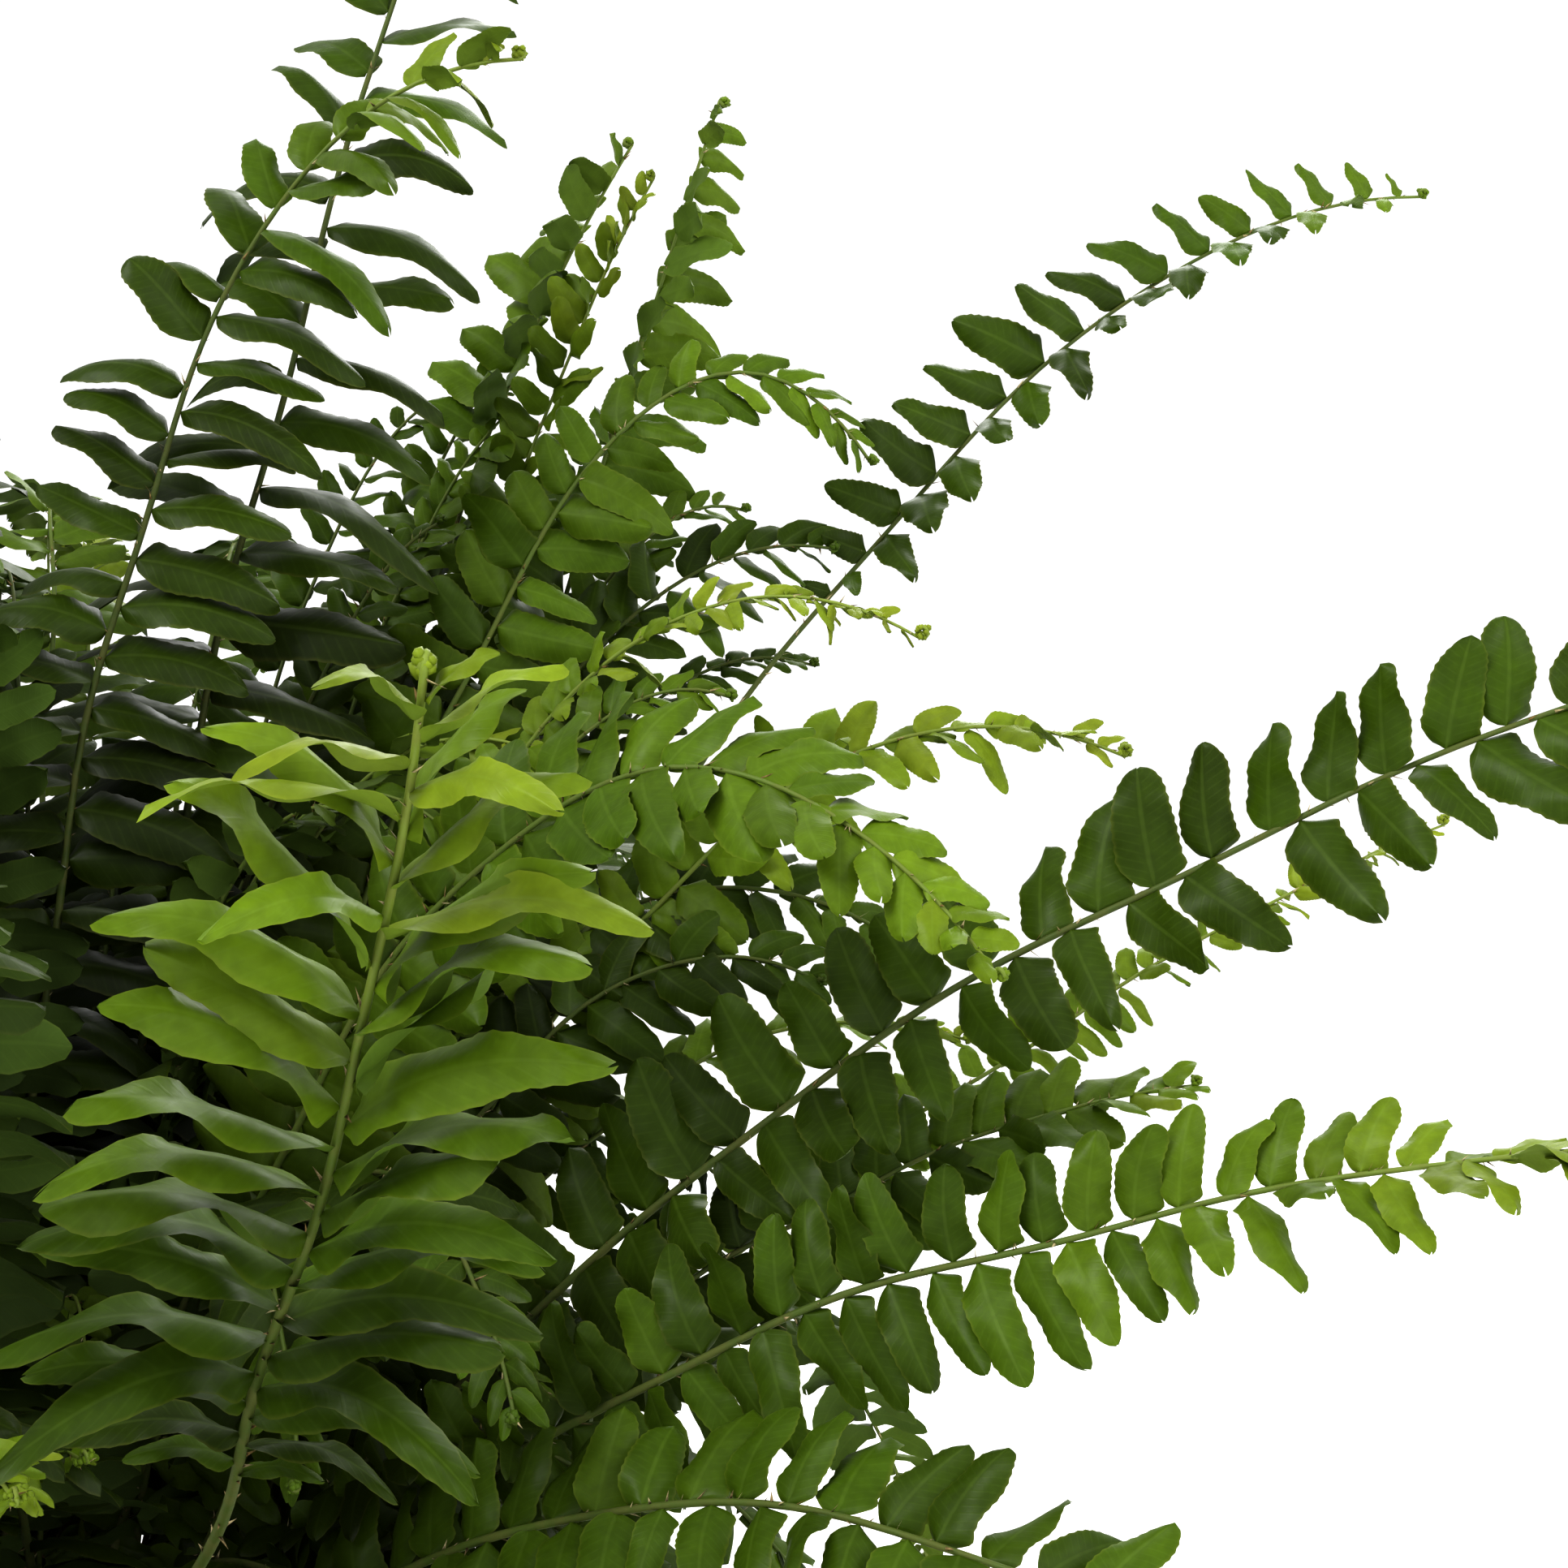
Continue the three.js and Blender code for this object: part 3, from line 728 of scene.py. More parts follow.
def add_spikes(skin, points, material, spot, random):
    """Closed spikes from the four points of each, the last being its tip, all at one spot's uv."""
    count = len(points[0])
    shape = np.array([[0, 1, 3], [1, 2, 3], [2, 0, 3], [0, 2, 1]])
    faces = (shape[None] + 4 * np.arange(count)[:, None, None]).reshape(-1, 3)
    uv = np.zeros((len(faces), 3, 2)) + np.array(spot)
    tone = np.repeat(random.normal(0, 1, count), 4)
    skin.add(np.stack(points, 1).reshape(-1, 3), faces, uv, material, tone=tone)


def add_scales(skin, path, radius, random, count, near_foot):
    """Papery scales that stand off a midrib: thin closed spikes."""
    share = random.uniform(0, 1, count) ** near_foot
    base, tangent, side, normal = frame_at(path, share)
    around = random.uniform(0, 2 * np.pi, (count, 1))
    out = turned(side, normal, around)
    lean = np.radians(random.uniform(25, 80, (count, 1)))
    pointing = turned(tangent, out, lean) + random.normal(0, 0.18, (count, 3))
    flat = unit(np.cross(pointing, out))
    length = random.uniform(*SCALE_LENGTHS, (count, 1))
    breadth = 0.12 * length + 0.08
    root = base + out * np.interp(share, path["share"], radius)[:, None] * 0.85
    points = [root + flat * breadth, root - flat * breadth, root + out * 0.14, root + pointing * length]
    add_spikes(skin, points, 2, (0.5, 0.058), random)


def build_frond(frond, number, fine):
    """Two rows of leaflets on a scaly midrib that ends in a small roll with buds."""
    random = np.random.default_rng(1000 + number)
    path = midrib_path(frond)
    pattern = FINE_LEAFLET if fine else PLAIN_LEAFLET
    cells = Atlas(2 * sum(len(leaflet_places(frond, path, offset)) for offset in (0, 0.5)))
    skin = Skin()
    for way in (1, -1):
        add_leaflet_row(skin, frond, path, pattern, random, way, cells)
    stout = 0.55 + 0.45 * frond["half"] / USUAL_LEAFLET
    radius = stout * (STALK_RADIUS - STALK_TAPER * path["share"] ** 0.8)
    age = age_along(frond, path["share"])
    coil_radius = 0.8 + 0.7 * age[-1]
    coil, coil_side, coil_normal = coil_at_tip(path, coil_radius)
    knob = np.linspace(radius[-1], 0.75 * stout, len(coil))
    spine = [np.concatenate(pair) for pair in (
        (path["points"], coil), (path["side"], coil_side), (path["normal"], coil_normal),
        (radius, knob))]
    tube_age = np.pad(age, (0, len(coil)), "edge")
    along = np.pad(path["share"], (0, len(coil)), "edge")
    add_tube(skin, *spine, 1, age=tube_age, along=along)
    add_scales(skin, path, radius, random, FINE_SCALES if fine else PLAIN_SCALES, 1.6)
    bud_sizes = knob * random.uniform(1.0, 1.7, len(coil))
    bud_places = coil + coil_side * random.normal(0, 0.6, (len(coil), 1))
    add_lumps(skin, bud_places, bud_sizes, np.array([1, 1, 1]), 0, random, age=age[-1])
    slot = f"{frond['age']}_frond"
    thing = skin.to_object(frond["name"], [MATERIALS[slot], MATERIALS["stalk"], MATERIALS["scale"]])
    replaced = [frond["name"]] if frond["name"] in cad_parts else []
    return make_piece(thing, slot, *replaced)


# ---- materials


def colour(code):
    """A linear colour from a six-digit sRGB code."""
    parts = [int(code[i : i + 2], 16) / 255 for i in (0, 2, 4)]
    return tuple(p / 12.92 if p <= 0.04045 else ((p + 0.055) / 1.055) ** 2.4 for p in parts) + (1,)


class Nodes:
    """Short calls for the nodes that the materials here are made of."""

    def __init__(self, name):
        self.material = bpy.data.materials.new(name)
        self.material.use_nodes = True
        self.tree = self.material.node_tree
        self.shader = self.tree.nodes["Principled BSDF"]

    def plug(self, value, socket):
        if isinstance(value, bpy.types.NodeSocket):
            self.tree.links.new(value, socket)
        else:
            socket.default_value = colour(value) if isinstance(value, str) else value

    def math(self, operation, a, b=0.0):
        node = self.tree.nodes.new("ShaderNodeMath")
        node.operation = operation
        self.plug(a, node.inputs[0])
        self.plug(b, node.inputs[1])
        return node.outputs[0]

    def plus(self, a, b):
        return self.math("ADD", a, b)

    def times(self, a, b):
        return self.math("MULTIPLY", a, b)

    def between(self, value, low, high, to_low=0.0, to_high=1.0):
        node = self.tree.nodes.new("ShaderNodeMapRange")
        node.interpolation_type = "SMOOTHSTEP"
        for socket, number in zip(node.inputs, (value, low, high, to_low, to_high)):
            self.plug(number, socket)
        return node.outputs[0]

    def mix(self, share, a, b, blend="MIX"):
        node = self.tree.nodes.new("ShaderNodeMix")
        node.data_type = "RGBA"
        node.blend_type = blend
        self.plug(share, node.inputs[0])
        self.plug(a, node.inputs[6])
        self.plug(b, node.inputs[7])
        return node.outputs[2]

    def value(self, name):
        node = self.tree.nodes.new("ShaderNodeAttribute")
        node.attribute_name = name
        return node.outputs["Fac"]

    def place(self):
        return self.tree.nodes.new("ShaderNodeTexCoord").outputs["Object"]

    def noise(self, scale, detail=3.0, roughness=0.55):
        node = self.tree.nodes.new("ShaderNodeTexNoise")
        self.plug(self.place(), node.inputs["Vector"])
        node.inputs["Scale"].default_value = scale
        node.inputs["Detail"].default_value = detail
        node.inputs["Roughness"].default_value = roughness
        return node.outputs["Fac"]

    def cells(self, scale):
        node = self.tree.nodes.new("ShaderNodeTexVoronoi")
        self.plug(self.place(), node.inputs["Vector"])
        node.inputs["Scale"].default_value = scale
        return node.outputs["Distance"]

    def ramp(self, value, stops):
        node = self.tree.nodes.new("ShaderNodeValToRGB")
        elements = node.color_ramp.elements
        while len(elements) < len(stops):
            elements.new(0.5)
        for element, (position, code) in zip(elements, stops.items()):
            element.position = position
            element.color = colour(code)
        self.plug(value, node.inputs["Fac"])
        return node.outputs["Color"]

    def bump(self, height, strength, distance):
        node = self.tree.nodes.new("ShaderNodeBump")
        node.inputs["Strength"].default_value = strength
        node.inputs["Distance"].default_value = distance
        self.plug(height, node.inputs["Height"])
        self.tree.links.new(node.outputs["Normal"], self.shader.inputs["Normal"])

    def finish(self, base, roughness, specular):
        self.plug(base, self.shader.inputs["Base Color"])
        self.plug(roughness, self.shader.inputs["Roughness"])
        self.shader.inputs["Specular IOR Level"].default_value = specular
        return self.material


def leaf_material(name, depth):
    """Leaflets: age sets the green, with side veins, a groove, a paler edge and underside."""
    n = Nodes(name)
    blotch = n.noise(55)
    age = n.plus(n.value("age"), n.times(n.math("SUBTRACT", blotch, 0.5), 0.22))
    green = n.ramp(age, {0.0: "2c3a07", 0.3: "48600d", 0.62: "68801a", 1.0: "909a2e"})
    across = n.math("ABSOLUTE", n.value("across"))
    along = n.value("along")
    slant = n.math("SUBTRACT", n.times(along, 84.0), n.times(across, 9.0))
    vein = n.between(n.math("SINE", slant), 0.55, 1.0)
    vein = n.times(vein, n.between(across, 0.05, 0.3))
    groove = n.between(across, 0.03, 0.11, 1.0, 0.0)
    edge = n.between(across, 0.86, 1.0)
    green = n.mix(n.times(vein, 0.03), green, "8fae4f")
    green = n.mix(n.times(groove, 0.09), green, "8aa54a")
    green = n.mix(n.times(edge, 0.12), green, "a3a24a")
    # tone lightens or darkens the green: random tone for each leaflet, and painted shade deep inside
    # the plant.
    tone = n.plus(n.times(n.value("tone"), 0.09), 1.0 - depth)
    mottle = n.between(n.noise(420, 2.0), 0.2, 0.8, 0.88, 1.1)
    green = n.mix(1.0, green, n.times(tone, mottle), "MULTIPLY")
    green = n.mix(n.times(n.value("under"), 0.35), green, "647d3c")
    gloss = n.between(n.noise(140), 0.3, 0.7, 0.34, 0.5)
    gloss = n.plus(gloss, n.times(n.value("under"), 0.2))
    height = n.plus(n.times(vein, 0.3), n.times(n.noise(900, 2.0), 0.5))
    n.bump(height, 0.14, 0.0003)
    return with_light_through(n.finish(green, gloss, 0.17), n, green)


def with_light_through(material, n, green):
    """Adds the light that passes through a thin leaf."""
    through = n.tree.nodes.new("ShaderNodeBsdfTranslucent")
    n.plug(n.mix(0.45, green, "a9c43c"), through.inputs["Color"])
    blend = n.tree.nodes.new("ShaderNodeMixShader")
    blend.inputs[0].default_value = 0.12
    output = n.tree.nodes["Material Output"]
    n.tree.links.new(n.shader.outputs[0], blend.inputs[1])
    n.tree.links.new(through.outputs[0], blend.inputs[2])
    n.tree.links.new(blend.outputs[0], output.inputs["Surface"])
    return material


def stalk_material():
    n = Nodes("fern_stalk")
    streak = n.noise(260)
    green = n.ramp(n.value("age"), {0.0: "3d4a1c", 0.45: "5c7029", 1.0: "8b9c40"})
    brown = n.between(n.value("along"), 0.0, 0.3, 0.75, 0.0)
    base = n.mix(brown, green, "54432a")
    base = n.mix(n.between(streak, 0.35, 0.7, 0.0, 0.25), base, "77693f")
    n.bump(streak, 0.4, 0.0004)
    return n.finish(base, n.between(streak, 0.3, 0.7, 0.5, 0.7), 0.35)


def scale_material():
    n = Nodes("papery_scale")
    base = n.mix(n.between(n.value("tone"), -1.0, 1.0), "8a7448", "c9bd93")
    fibre = n.noise(1500, 2.0)
    base = n.mix(n.between(fibre, 0.3, 0.7, 0.0, 0.3), base, "6b5433")
    n.bump(fibre, 0.3, 0.0002)
    return n.finish(base, 0.75, 0.2)


def clay_material():
    n = Nodes("unglazed_clay")
    broad = n.noise(9, 4.0)
    fine = n.noise(160, 4.0, 0.65)
    grains = n.cells(620)
    base = n.ramp(broad, {0.25: "87614e", 0.5: "977059", 0.78: "a6826c"})
    base = n.mix(n.between(fine, 0.35, 0.75, 0.0, 0.4), base, "785342")
    height = n.tree.nodes.new("ShaderNodeSeparateXYZ")
    n.plug(n.place(), height.inputs[0])
    cloud = n.noise(26, 5.0, 0.7)
    low = n.between(height.outputs["Z"], 0.0, 0.075, 0.62, 0.0)
    bloom = n.times(n.between(cloud, 0.46, 0.7), n.plus(low, 0.14))
    base = n.mix(bloom, base, "d9c9b4")
    speck = n.between(grains, 0.0, 0.16, 0.35, 0.0)
    base = n.mix(speck, base, "5f4030")
    surface = n.plus(n.times(fine, 0.7), n.times(grains, 0.5))
    n.bump(surface, 0.45, 0.0006)
    return n.finish(base, n.between(fine, 0.3, 0.7, 0.78, 0.95), 0.25)


def soil_material():
    n = Nodes("potting_soil")
    clump = n.noise(120, 4.0)
    fine = n.noise(900)
    base = n.ramp(clump, {0.3: "1d140d", 0.52: "33241a", 0.75: "4a3626"})
    base = n.mix(n.between(n.value("tone"), 0.2, 1.6, 0.0, 0.5), base, "6a4e34")
    base = n.mix(n.between(fine, 0.45, 0.8, 0.0, 0.5), base, "150e09")
    n.bump(n.plus(clump, fine), 0.8, 0.001)
    return n.finish(base, n.between(fine, 0.3, 0.7, 0.82, 0.98), 0.2)


def perlite_material():
    n = Nodes("perlite")
    pits = n.cells(1400)
    # Painted shade: the pits that the bump sinks are coloured a darker grey.
    base = n.mix(n.between(pits, 0.0, 0.4, 0.45, 0.0), "dcd6c8", "9b917e")
    n.bump(pits, 0.6, 0.0004)
    return n.finish(base, n.between(pits, 0.0, 0.5, 0.95, 0.8), 0.25)


def crown_material():
    n = Nodes("crown_fibre")
    streak = n.noise(300, 4.0)
    shade = n.plus(streak, n.times(n.value("tone"), 0.08))
    base = n.ramp(shade, {0.3: "2e2013", 0.55: "5a4127", 0.8: "8a6a42"})
    n.bump(streak, 0.7, 0.0008)
    return n.finish(base, n.between(streak, 0.3, 0.7, 0.75, 0.92), 0.25)


MATERIALS = {
    "mature_frond": leaf_material("mature_leaf", 0.05),
    "mid_frond": leaf_material("mid_leaf", 0.0),
    "young_frond": leaf_material("young_leaf", -0.02),
    "stalk": stalk_material(),
    "scale": scale_material(),
    "clay": clay_material(),
    "soil": soil_material(),
    "perlite": perlite_material(),
    "crown": crown_material(),
}


# ---- pot, soil and crown


DISC_UV = 0.05
DISC_SPOTS_UV = (0.1, 0.3)
SIDE_UV = (0.12, 0.98)


def turned_piece(profile, segments, relief):
    """A closed solid of revolution from (radius, height) rows. relief moves a ring's radius."""
    skin = Skin()
    turn = np.linspace(0, 2 * np.pi, segments, endpoint=False)
    rows = np.array([row for row in profile if row[0] > 0], float)
    radius = rows[:, :1] + relief(turn[None], rows[:, 1:], rows[:, :1])
    points = np.stack([radius * np.cos(turn), radius * np.sin(turn),
                       np.broadcast_to(rows[:, 1:], radius.shape)], -1)
    index = np.arange(points[..., 0].size).reshape(len(rows), segments)
    after = np.roll(index, -1, axis=1)
    quads = flipped(corners(np.column_stack([index, index[:, 0]])))
    travelled = np.concatenate([[0], np.cumsum(np.hypot(*np.diff(rows, axis=0).T))])
    height = SIDE_UV[0] + (SIDE_UV[1] - SIDE_UV[0]) * travelled / travelled[-1]
    at_turn = np.arange(segments + 1) / segments
    uv = flipped(corners(np.stack(np.meshgrid(at_turn, height), -1)))
    centre = np.array([[0, 0, profile[0][1]], [0, 0, profile[-1][1]]], float)
    skin.add(np.concatenate([points.reshape(-1, 3), centre]), quads, uv, 0)
    middle = points[..., 0].size
    first = np.stack([after[0], index[0], np.full(segments, middle)], -1)
    last = np.stack([index[-1], after[-1], np.full(segments, middle + 1)], -1)
    disc = DISC_UV * np.stack([np.cos(turn), np.sin(turn)], -1)
    next_disc = np.roll(disc, -1, axis=0)
    hub = np.zeros_like(disc)
    fans = ((first, (next_disc, disc)), (last, (disc, next_disc)))
    for spot, (fan, order) in zip(DISC_SPOTS_UV, fans):
        fan_uv = np.stack([*order, hub], 1) + np.array([spot, 1.1 * DISC_UV])
        skin.faces.append((fan, fan_uv, 0, np.zeros(segments, bool)))
    return skin


def arc(centre, radius, start, end, count):
    """Rows of (radius, height) round an arc, angles in degrees from the outward level line."""
    angles = np.radians(np.linspace(start, end, count))
    return [(centre[0] + radius * math.cos(a), centre[1] + radius * math.sin(a)) for a in angles]


def straight(start, end, count):
    return [tuple(row) for row in np.linspace(start, end, count)]


def build_pot():
    rim_bottom = POT_HEIGHT - RIM_HEIGHT
    body_top = POT_MOUTH_RADIUS - RIM_STEP
    inner_top = body_top - POT_WALL
    inner_base = POT_BASE_RADIUS - POT_WALL
    foot = 2.0
    rim_corner = 1.8
    lip = 3.2
    inner_lip = 2.4
    floor_corner = 5
    profile = [
        (0, 0), (30, 0),
        *arc((POT_BASE_RADIUS - foot, foot), foot, -90, -12, 5),
        *straight((POT_BASE_RADIUS + 1.4, 8), (body_top - 0.4, rim_bottom - 1.5), 40),
        (body_top + 0.6, rim_bottom - 0.4),
        *arc((POT_MOUTH_RADIUS - rim_corner, rim_bottom + rim_corner), rim_corner, -90, 0, 5),
        *straight((POT_MOUTH_RADIUS, rim_bottom + 4), (POT_MOUTH_RADIUS, POT_HEIGHT - 5), 10),
        *arc((POT_MOUTH_RADIUS - lip, POT_HEIGHT - lip), lip, 0, 90, 8),
        *arc((inner_top + inner_lip, POT_HEIGHT - inner_lip), inner_lip, 90, 180, 6),
        *straight((inner_top - 0.4, POT_HEIGHT - 6), (inner_base + 3, POT_FLOOR + 6), 24),
        *arc((inner_base - 2, POT_FLOOR + floor_corner), floor_corner, 0, -90, 5),
        (30, POT_FLOOR), (0, POT_FLOOR),
    ]

    def relief(turn, height, radius):
        wall = (radius > POT_BASE_RADIUS - 8) * 1.0
        throwing = 0.1 * np.sin(height * 2.3 + 0.4 * np.sin(turn)) + 0.07 * np.sin(height * 0.9 + turn)
        out_of_round = 0.22 * np.sin(2 * turn + 0.5) + 0.12 * np.sin(5 * turn + height * 0.03)
        return wall * (throwing + out_of_round - 0.35)

    pot = turned_piece(profile, 160, relief).to_object("clay_pot", [MATERIALS["clay"]])
    cut_drain_holes(pot)
    return make_piece(pot, "clay", "clay_pot")


def cut_drain_holes(pot):
    """Cuts the drainage holes through the pot's floor. The cutter is turned a little, so that none
    of its corners falls on an edge of the pot."""
    for index in range(DRAIN_COUNT):
        place = polar(360 * index / DRAIN_COUNT + DRAIN_AZIMUTH, POT_BASE_RADIUS / 2, 0) * MM
        bpy.ops.mesh.primitive_cylinder_add(
            vertices=32,
            radius=DRAIN_RADIUS * MM,
            depth=4 * POT_FLOOR * MM,
            location=place,
            rotation=(0, 0, CUTTER_TURN),
        )
        cutter = bpy.context.object
        cut = pot.modifiers.new("drain", "BOOLEAN")
        cut.operation = "DIFFERENCE"
        cut.solver = "EXACT"
        cut.object = cutter
        bpy.context.view_layer.objects.active = pot
        with bpy.context.temp_override(object=pot, active_object=pot):
            bpy.ops.object.modifier_apply(modifier=cut.name)
        bpy.data.objects.remove(cutter)


SOIL_CRUMBS = 2600
PERLITE_GRAINS = 90
CROWN_HAIRS = 5200
SHEATH_HAIRS = 26
HAIR_HALF_WIDTH = 0.34
HAIR_DEPTH = 0.16


def inner_radius_at(height):
    """The radius of the pot's inside."""
    low = POT_BASE_RADIUS - POT_WALL
    high = POT_MOUTH_RADIUS - RIM_STEP - POT_WALL
    return low + (high - low) * (height - POT_FLOOR) / (POT_HEIGHT - POT_FLOOR)


def lump_pattern():
    """A rounded lump: the points and triangles of an icosahedron."""
    long, short = 0.850651, 0.525731
    points = [(-short, long, 0), (short, long, 0), (-short, -long, 0), (short, -long, 0)]
    points += [(z, x, y) for x, y, z in points] + [(y, z, x) for x, y, z in points]
    points = np.array(points)
    gap = np.linalg.norm(points[:, None] - points[None], axis=2)
    near = (gap > 0.1) & (gap < 1.2)
    faces = []
    for a in range(12):
        for b in range(a + 1, 12):
            for c in range(b + 1, 12):
                if near[a, b] and near[b, c] and near[a, c]:
                    way = np.dot(np.cross(points[b] - points[a], points[c] - points[a]), points[a])
                    faces.append((a, b, c) if way > 0 else (a, c, b))
    return points, np.array(faces)


def add_lumps(skin, centres, sizes, squash, material, random, age=0.7):
    """Irregular crumbs at the centres."""
    points, faces = lump_pattern()
    count = len(centres)
    shape = points[None] * random.uniform(0.65, 1.2, (count, 12, 1)) * squash
    turn = random.uniform(0, 2 * np.pi, count)
    cosine, sine = np.cos(turn)[:, None], np.sin(turn)[:, None]
    x, y, z = shape[..., 0], shape[..., 1], shape[..., 2]
    shape = np.stack([cosine * x - sine * y, sine * x + cosine * y, z], -1) * sizes[:, None, None]
    index = faces[None] + 12 * np.arange(count)[:, None, None]
    uv = np.zeros((count, len(faces), 3, 2))
    uv[..., 0] = (np.arange(count) / count)[:, None, None] + np.array([0, 0.002, 0.001])
    uv[..., 1] = np.array([0.0, 0.0, 0.01])
    skin.add((shape + centres[:, None]).reshape(-1, 3), index.reshape(-1, 3), uv.reshape(-1, 3, 2),
             material, tone=np.repeat(random.normal(0, 1, count), 12), age=age)


def disc_places(count, low, high, random):
    radius = np.sqrt(random.uniform(low**2, high**2, count))
    angle = random.uniform(0, 2 * np.pi, count)
    return radius, np.stack([radius * np.cos(angle), radius * np.sin(angle)], -1)


def soil_drop_at(radius):
    """How far the soil sinks from the crown's foot out to the pot's wall."""
    return 3.5 * np.clip((radius - CROWN_RADIUS - 6) / 14, 0, 1)


def build_soil():
    random = np.random.default_rng(5)
    bottom = POT_FLOOR + 0.6
    edge_top = SOIL_TOP - 4
    gap = 1.6
    edge_radius = inner_radius_at(edge_top) - gap
    profile = [
        (0, bottom), (20, bottom), (inner_radius_at(bottom) - 6, bottom),
        (inner_radius_at(bottom + 6) - gap, bottom + 6),
        *straight((inner_radius_at(40) - gap, 40), (edge_radius, edge_top), 8),
        *straight((edge_radius - 2, edge_top + 1), (CROWN_RADIUS + 6, SOIL_TOP - 1), 5),
        *straight((CROWN_RADIUS, SOIL_TOP - 1), (8, SOIL_TOP - 1), 10),
        (0, SOIL_TOP - 1),
    ]

    def relief(turn, height, radius):
        return 0.25 * np.sin(9 * turn + height) * (radius > 20)

    skin = turned_piece(profile, 96, relief)
    radius, level = disc_places(SOIL_CRUMBS, CROWN_RADIUS - 8, edge_radius - 1, random)
    height = SOIL_TOP - 1 - soil_drop_at(radius)
    sizes = 0.5 + random.gamma(2.0, 0.42, len(radius))
    centres = np.column_stack([level, height + random.uniform(-0.5, 0.5, len(radius))])
    add_lumps(skin, centres, sizes, np.array([1.1, 1, 0.75]), 0, random)
    radius, level = disc_places(PERLITE_GRAINS, CROWN_RADIUS - 6, edge_radius - 2, random)
    centres = np.column_stack([level, SOIL_TOP - 0.6 - soil_drop_at(radius)])
    add_lumps(skin, centres, random.uniform(0.7, 1.7, len(radius)), np.ones(3), 1, random)
    soil = skin.to_object("potting_soil", [MATERIALS["soil"], MATERIALS["perlite"]])
    return make_piece(soil, "soil", "potting_soil")


def build_crown(fronds):
    """The crown: a rough mound, a sheath round each stalk's foot, and a coat of brown scales."""
    random = np.random.default_rng(6)
    radii = CROWN_RADIUS * np.cos(np.radians(np.linspace(0, 90, 14)[1:-1])) + 0.01
    profile = [(0, SOIL_TOP - 0.5), (CROWN_RADIUS - 1, SOIL_TOP - 0.5)]
    profile += [(radius, crown_height_at(radius) - 0.6) for radius in radii]
    profile.append((0, crown_height_at(0) - 0.6))

    def relief(turn, height, radius):
        lumps = np.sin(9 * turn + radius * 0.4) + 0.6 * np.sin(17 * turn - radius * 0.7)
        return 0.9 * lumps * (radius > 6) * (radius < CROWN_RADIUS - 0.5)

    skin = turned_piece(profile, 96, relief)
    for frond in fronds:
        add_sheath(skin, frond, random)
    radius, level = disc_places(CROWN_HAIRS, 0, CROWN_RADIUS - 1, random)
    base = np.column_stack([level, [crown_height_at(r) - 0.8 for r in radius]])
    add_hairs(skin, base, random, 2.2, 5.5)
    crown = skin.to_object("rhizome_crown", [MATERIALS["crown"]])
    return make_piece(crown, "crown", "rhizome_crown")


def add_sheath(skin, frond, random):
    """The swollen brown foot of one stalk, from just inside the crown."""
    start, pull, tip = frond["curve"]
    points = quadratic(start, pull, tip, 60)[:5]
    along = unit(points[1] - points[0])
    points = np.concatenate([[start - along * 4], points])
    side = unit(np.cross(along, frond["face"]))
    normal = np.cross(side, along)
    count = len(points)
    radius = np.linspace(2.7, 1.25, count) * random.uniform(0.9, 1.15)
    add_tube(skin, points, np.tile(side, (count, 1)), np.tile(normal, (count, 1)), radius, 0,
             tone=np.full(count, random.normal(0, 1)))
    near = random.integers(0, count - 1, SHEATH_HAIRS)
    base = points[near] + random.normal(0, 1.2, (SHEATH_HAIRS, 3))
    add_hairs(skin, base, random, 2.0, 4.5)


def add_hairs(skin, base, random, shortest, longest):
    """Narrow closed spikes that point up and outwards."""
    count = len(base)
    pointing = unit(random.normal(0, 0.55, (count, 3)) + np.array([0, 0, 0.9]))
    flat = unit(np.cross(pointing, random.normal(0, 1, (count, 3))))
    other = np.cross(flat, pointing)
    length = random.uniform(shortest, longest, (count, 1))
    sideways = flat * HAIR_HALF_WIDTH
    points = [base + sideways, base - sideways, base + other * HAIR_DEPTH, base + pointing * length]
    add_spikes(skin, points, 0, (0.6, 0.05), random)


# ---- croziers

# Croziers: azimuth, the foot's radius, how far the neck stands out from it, and the neck's height.
CROZIERS = ((15, 10, 14, 118), (118, 22, 20, 92), (212, 26, 20, 140), (318, 33, 18, 84))
CROZIER_HEAD_RADIUS = 6
CROZIER_STALK_STEPS = 40
CROZIER_TURNS = 1.9
CROZIER_SCALES = 520


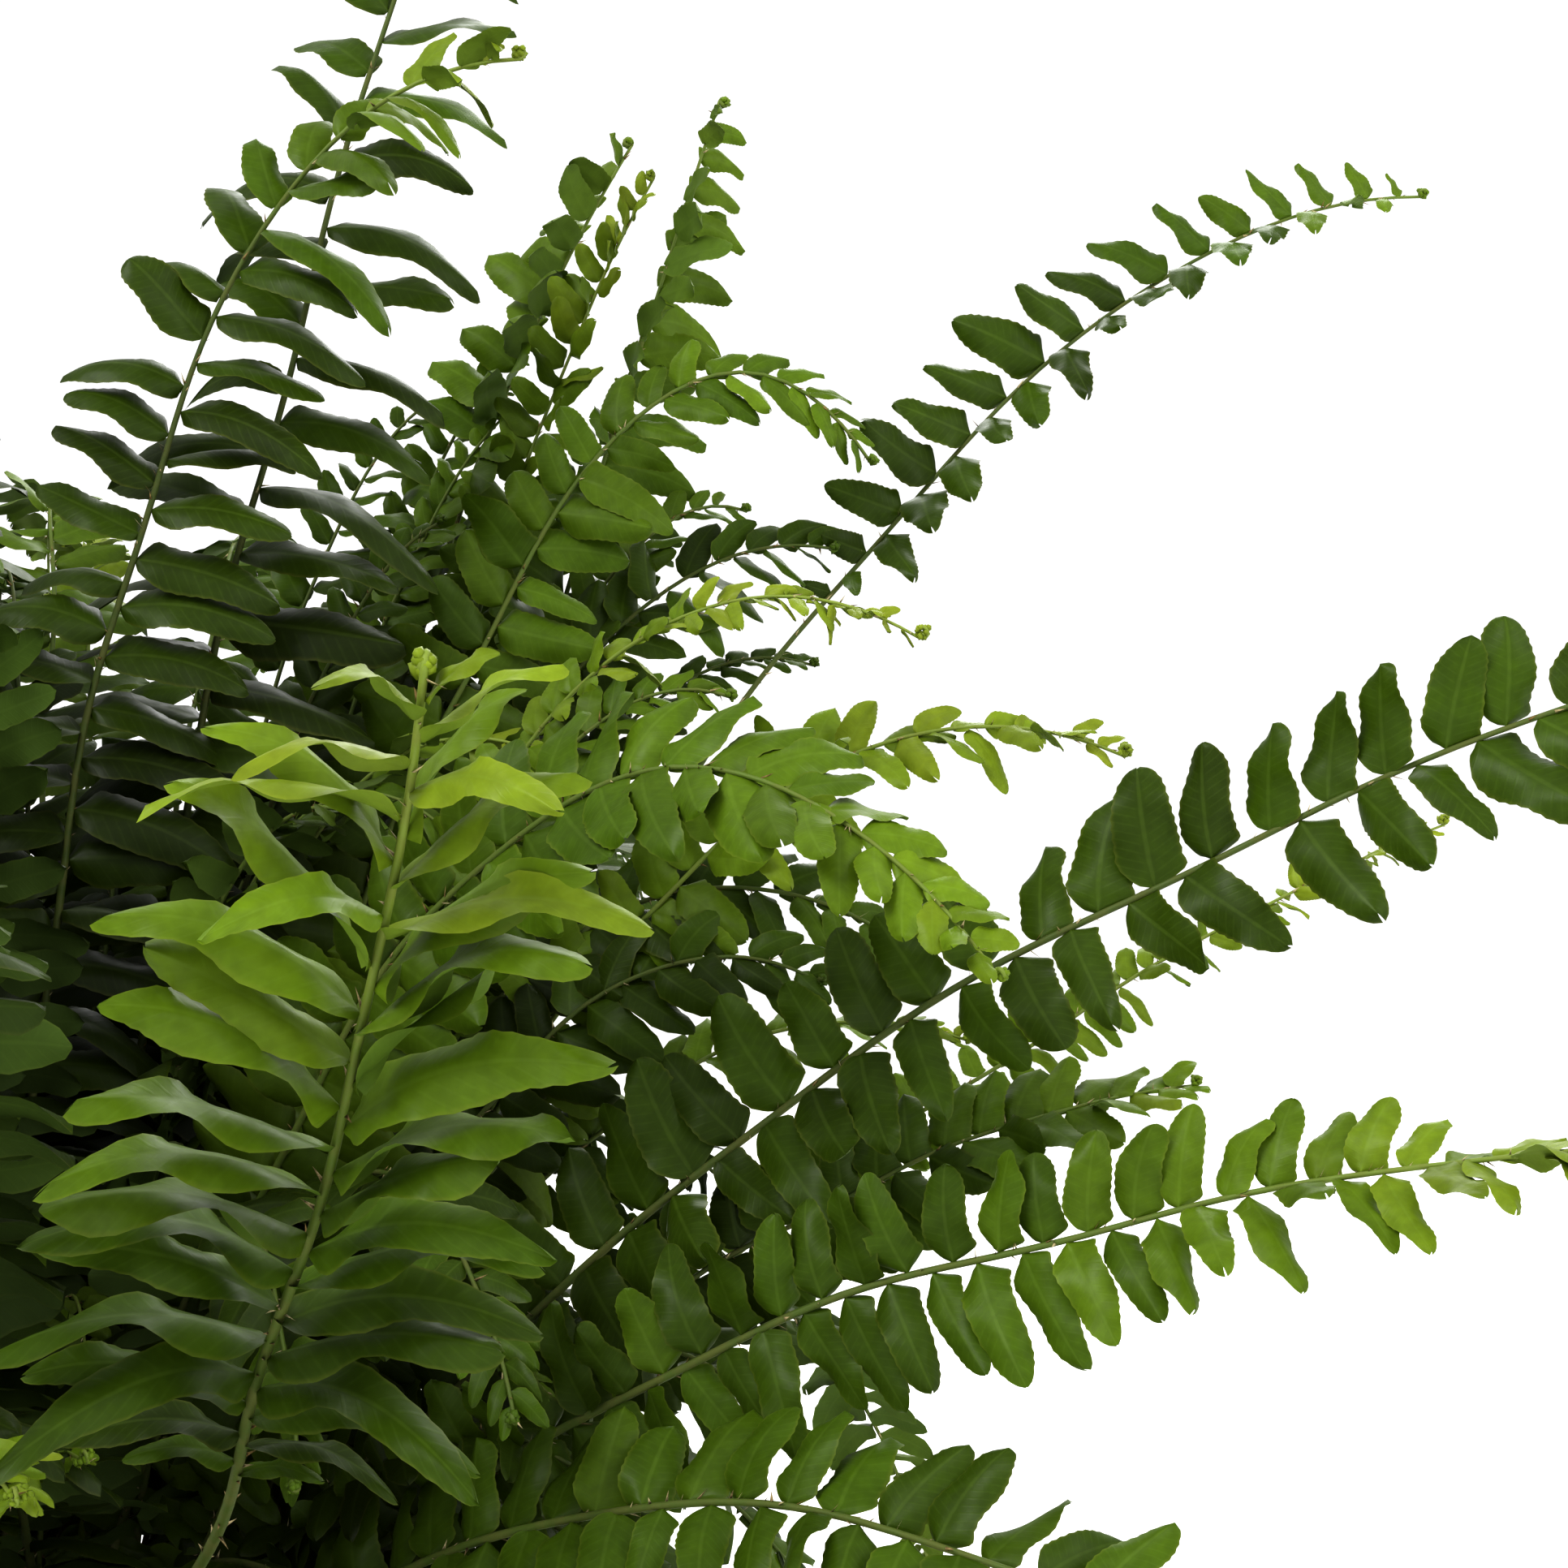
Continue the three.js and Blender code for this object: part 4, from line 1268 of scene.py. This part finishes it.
def build_crozier(number, azimuth, foot, lean, height):
    """A young frond still rolled up: a scaly stalk and a coil with its leaflets folded in."""
    random = np.random.default_rng(300 + number)
    outward = direction(azimuth, 0)
    start = polar(azimuth, foot, crown_height_at(foot) + 1)
    neck = polar(azimuth, foot + lean, crown_height_at(foot) + 2 * STALK_HALF_WIDTH + height)
    pull = (start + neck) / 2 - outward * lean / 2.5
    stalk = quadratic(start, pull, neck, CROZIER_STALK_STEPS)
    centre = neck - outward * CROZIER_HEAD_RADIUS
    turn = np.linspace(0, 2 * np.pi * CROZIER_TURNS, 60)[1:, None]
    reach = CROZIER_HEAD_RADIUS * (1 - 0.82 * (turn / turn[-1]) ** 0.9)
    coil = centre + reach * (outward * np.cos(turn) + UP * np.sin(turn))
    points = np.concatenate([stalk, coil])
    tangent = unit(np.gradient(points, axis=0))
    side = np.tile(np.cross(UP, outward), (len(points), 1))
    path = {
        "points": points,
        "tangent": tangent,
        "side": side,
        "normal": np.cross(side, tangent),
        "share": np.linspace(0, 1, len(points)),
    }
    radius = np.interp(path["share"], (0, 0.4, 0.6, 1), (1.5, 1.2, 1.4, 0.8))
    skin = Skin()
    add_tube(skin, points, side, path["normal"], radius, 1, sides=10,
             age=np.full(len(points), 0.7), along=path["share"])
    add_scales(skin, path, radius, random, CROZIER_SCALES, 0.75)
    coiled = slice(CROZIER_STALK_STEPS + 4, None, 2)
    for way in (1, -1):
        buds = points[coiled] + side[coiled] * way * radius[coiled, None]
        add_lumps(skin, buds, radius[coiled] * 0.85, np.array([1, 1, 1.1]), 0, random)
    name = f"crozier_{number}"
    thing = skin.to_object(name, [MATERIALS["young_frond"], MATERIALS["stalk"], MATERIALS["scale"]])
    return make_piece(thing, "young_frond", name)


# ---- stage, light and camera

CAMERA_SIDE = 172
CAMERA_HEIGHT = 360
CAMERA_BACK = 600
VIEW_WIDTH = 351.3
SENSOR = 36.0
LIGHTS_AIM = (0.05, 0.0, 0.3)


def build_floor():
    bpy.ops.mesh.primitive_circle_add(vertices=96, radius=4.0, fill_type="NGON", location=(0, 0, 0))
    floor = bpy.context.object
    floor.name = "studio_floor"
    n = Nodes("pale_floor")
    floor.data.materials.append(n.finish("f8f8f6", 0.9, 0.1))


def build_light(name, place, size, power):
    lamp = bpy.data.lights.new(name, "AREA")
    lamp.size = size
    lamp.energy = power
    thing = bpy.data.objects.new(name, lamp)
    bpy.context.scene.collection.objects.link(thing)
    thing.location = place
    aim = np.array(LIGHTS_AIM) - np.array(place)
    yaw = math.atan2(aim[1], aim[0]) - math.pi / 2
    pitch = math.pi / 2 + math.atan2(aim[2], math.hypot(aim[0], aim[1]))
    thing.rotation_euler = (pitch, 0, yaw)


def build_stage():
    scene = bpy.context.scene
    world = bpy.data.worlds.new("studio")
    scene.world = world
    world.use_nodes = True
    sky = world.node_tree.nodes["Background"]
    sky.inputs["Color"].default_value = (1, 1, 1, 1)
    sky.inputs["Strength"].default_value = 1.1
    scene.view_settings.view_transform = "Standard"
    scene.view_settings.gamma = 0.78
    build_floor()
    build_light("key", (-1.1, -1.5, 2.0), 1.2, 50)
    build_light("fill", (1.6, -0.9, 1.2), 1.4, 14)
    build_light("back", (0.4, 1.8, 1.7), 1.2, 22)
    camera = bpy.data.cameras.new("camera")
    camera.sensor_width = SENSOR
    camera.lens = SENSOR * CAMERA_BACK / VIEW_WIDTH
    camera.clip_start = 0.02
    thing = bpy.data.objects.new("camera", camera)
    scene.collection.objects.link(thing)
    thing.location = (CAMERA_SIDE * MM, -CAMERA_BACK * MM, CAMERA_HEIGHT * MM)
    thing.rotation_euler = (math.pi / 2, 0, 0)
    scene.camera = thing


# ---- the whole plant

fronds = grow_fronds()
for number, frond in enumerate(fronds):
    build_frond(frond, number, fine=number < len(PLACED_FRONDS))
build_pot()
build_soil()
build_crown(fronds)
for number, row in enumerate(CROZIERS, start=1):
    build_crozier(number, *row)
build_stage()
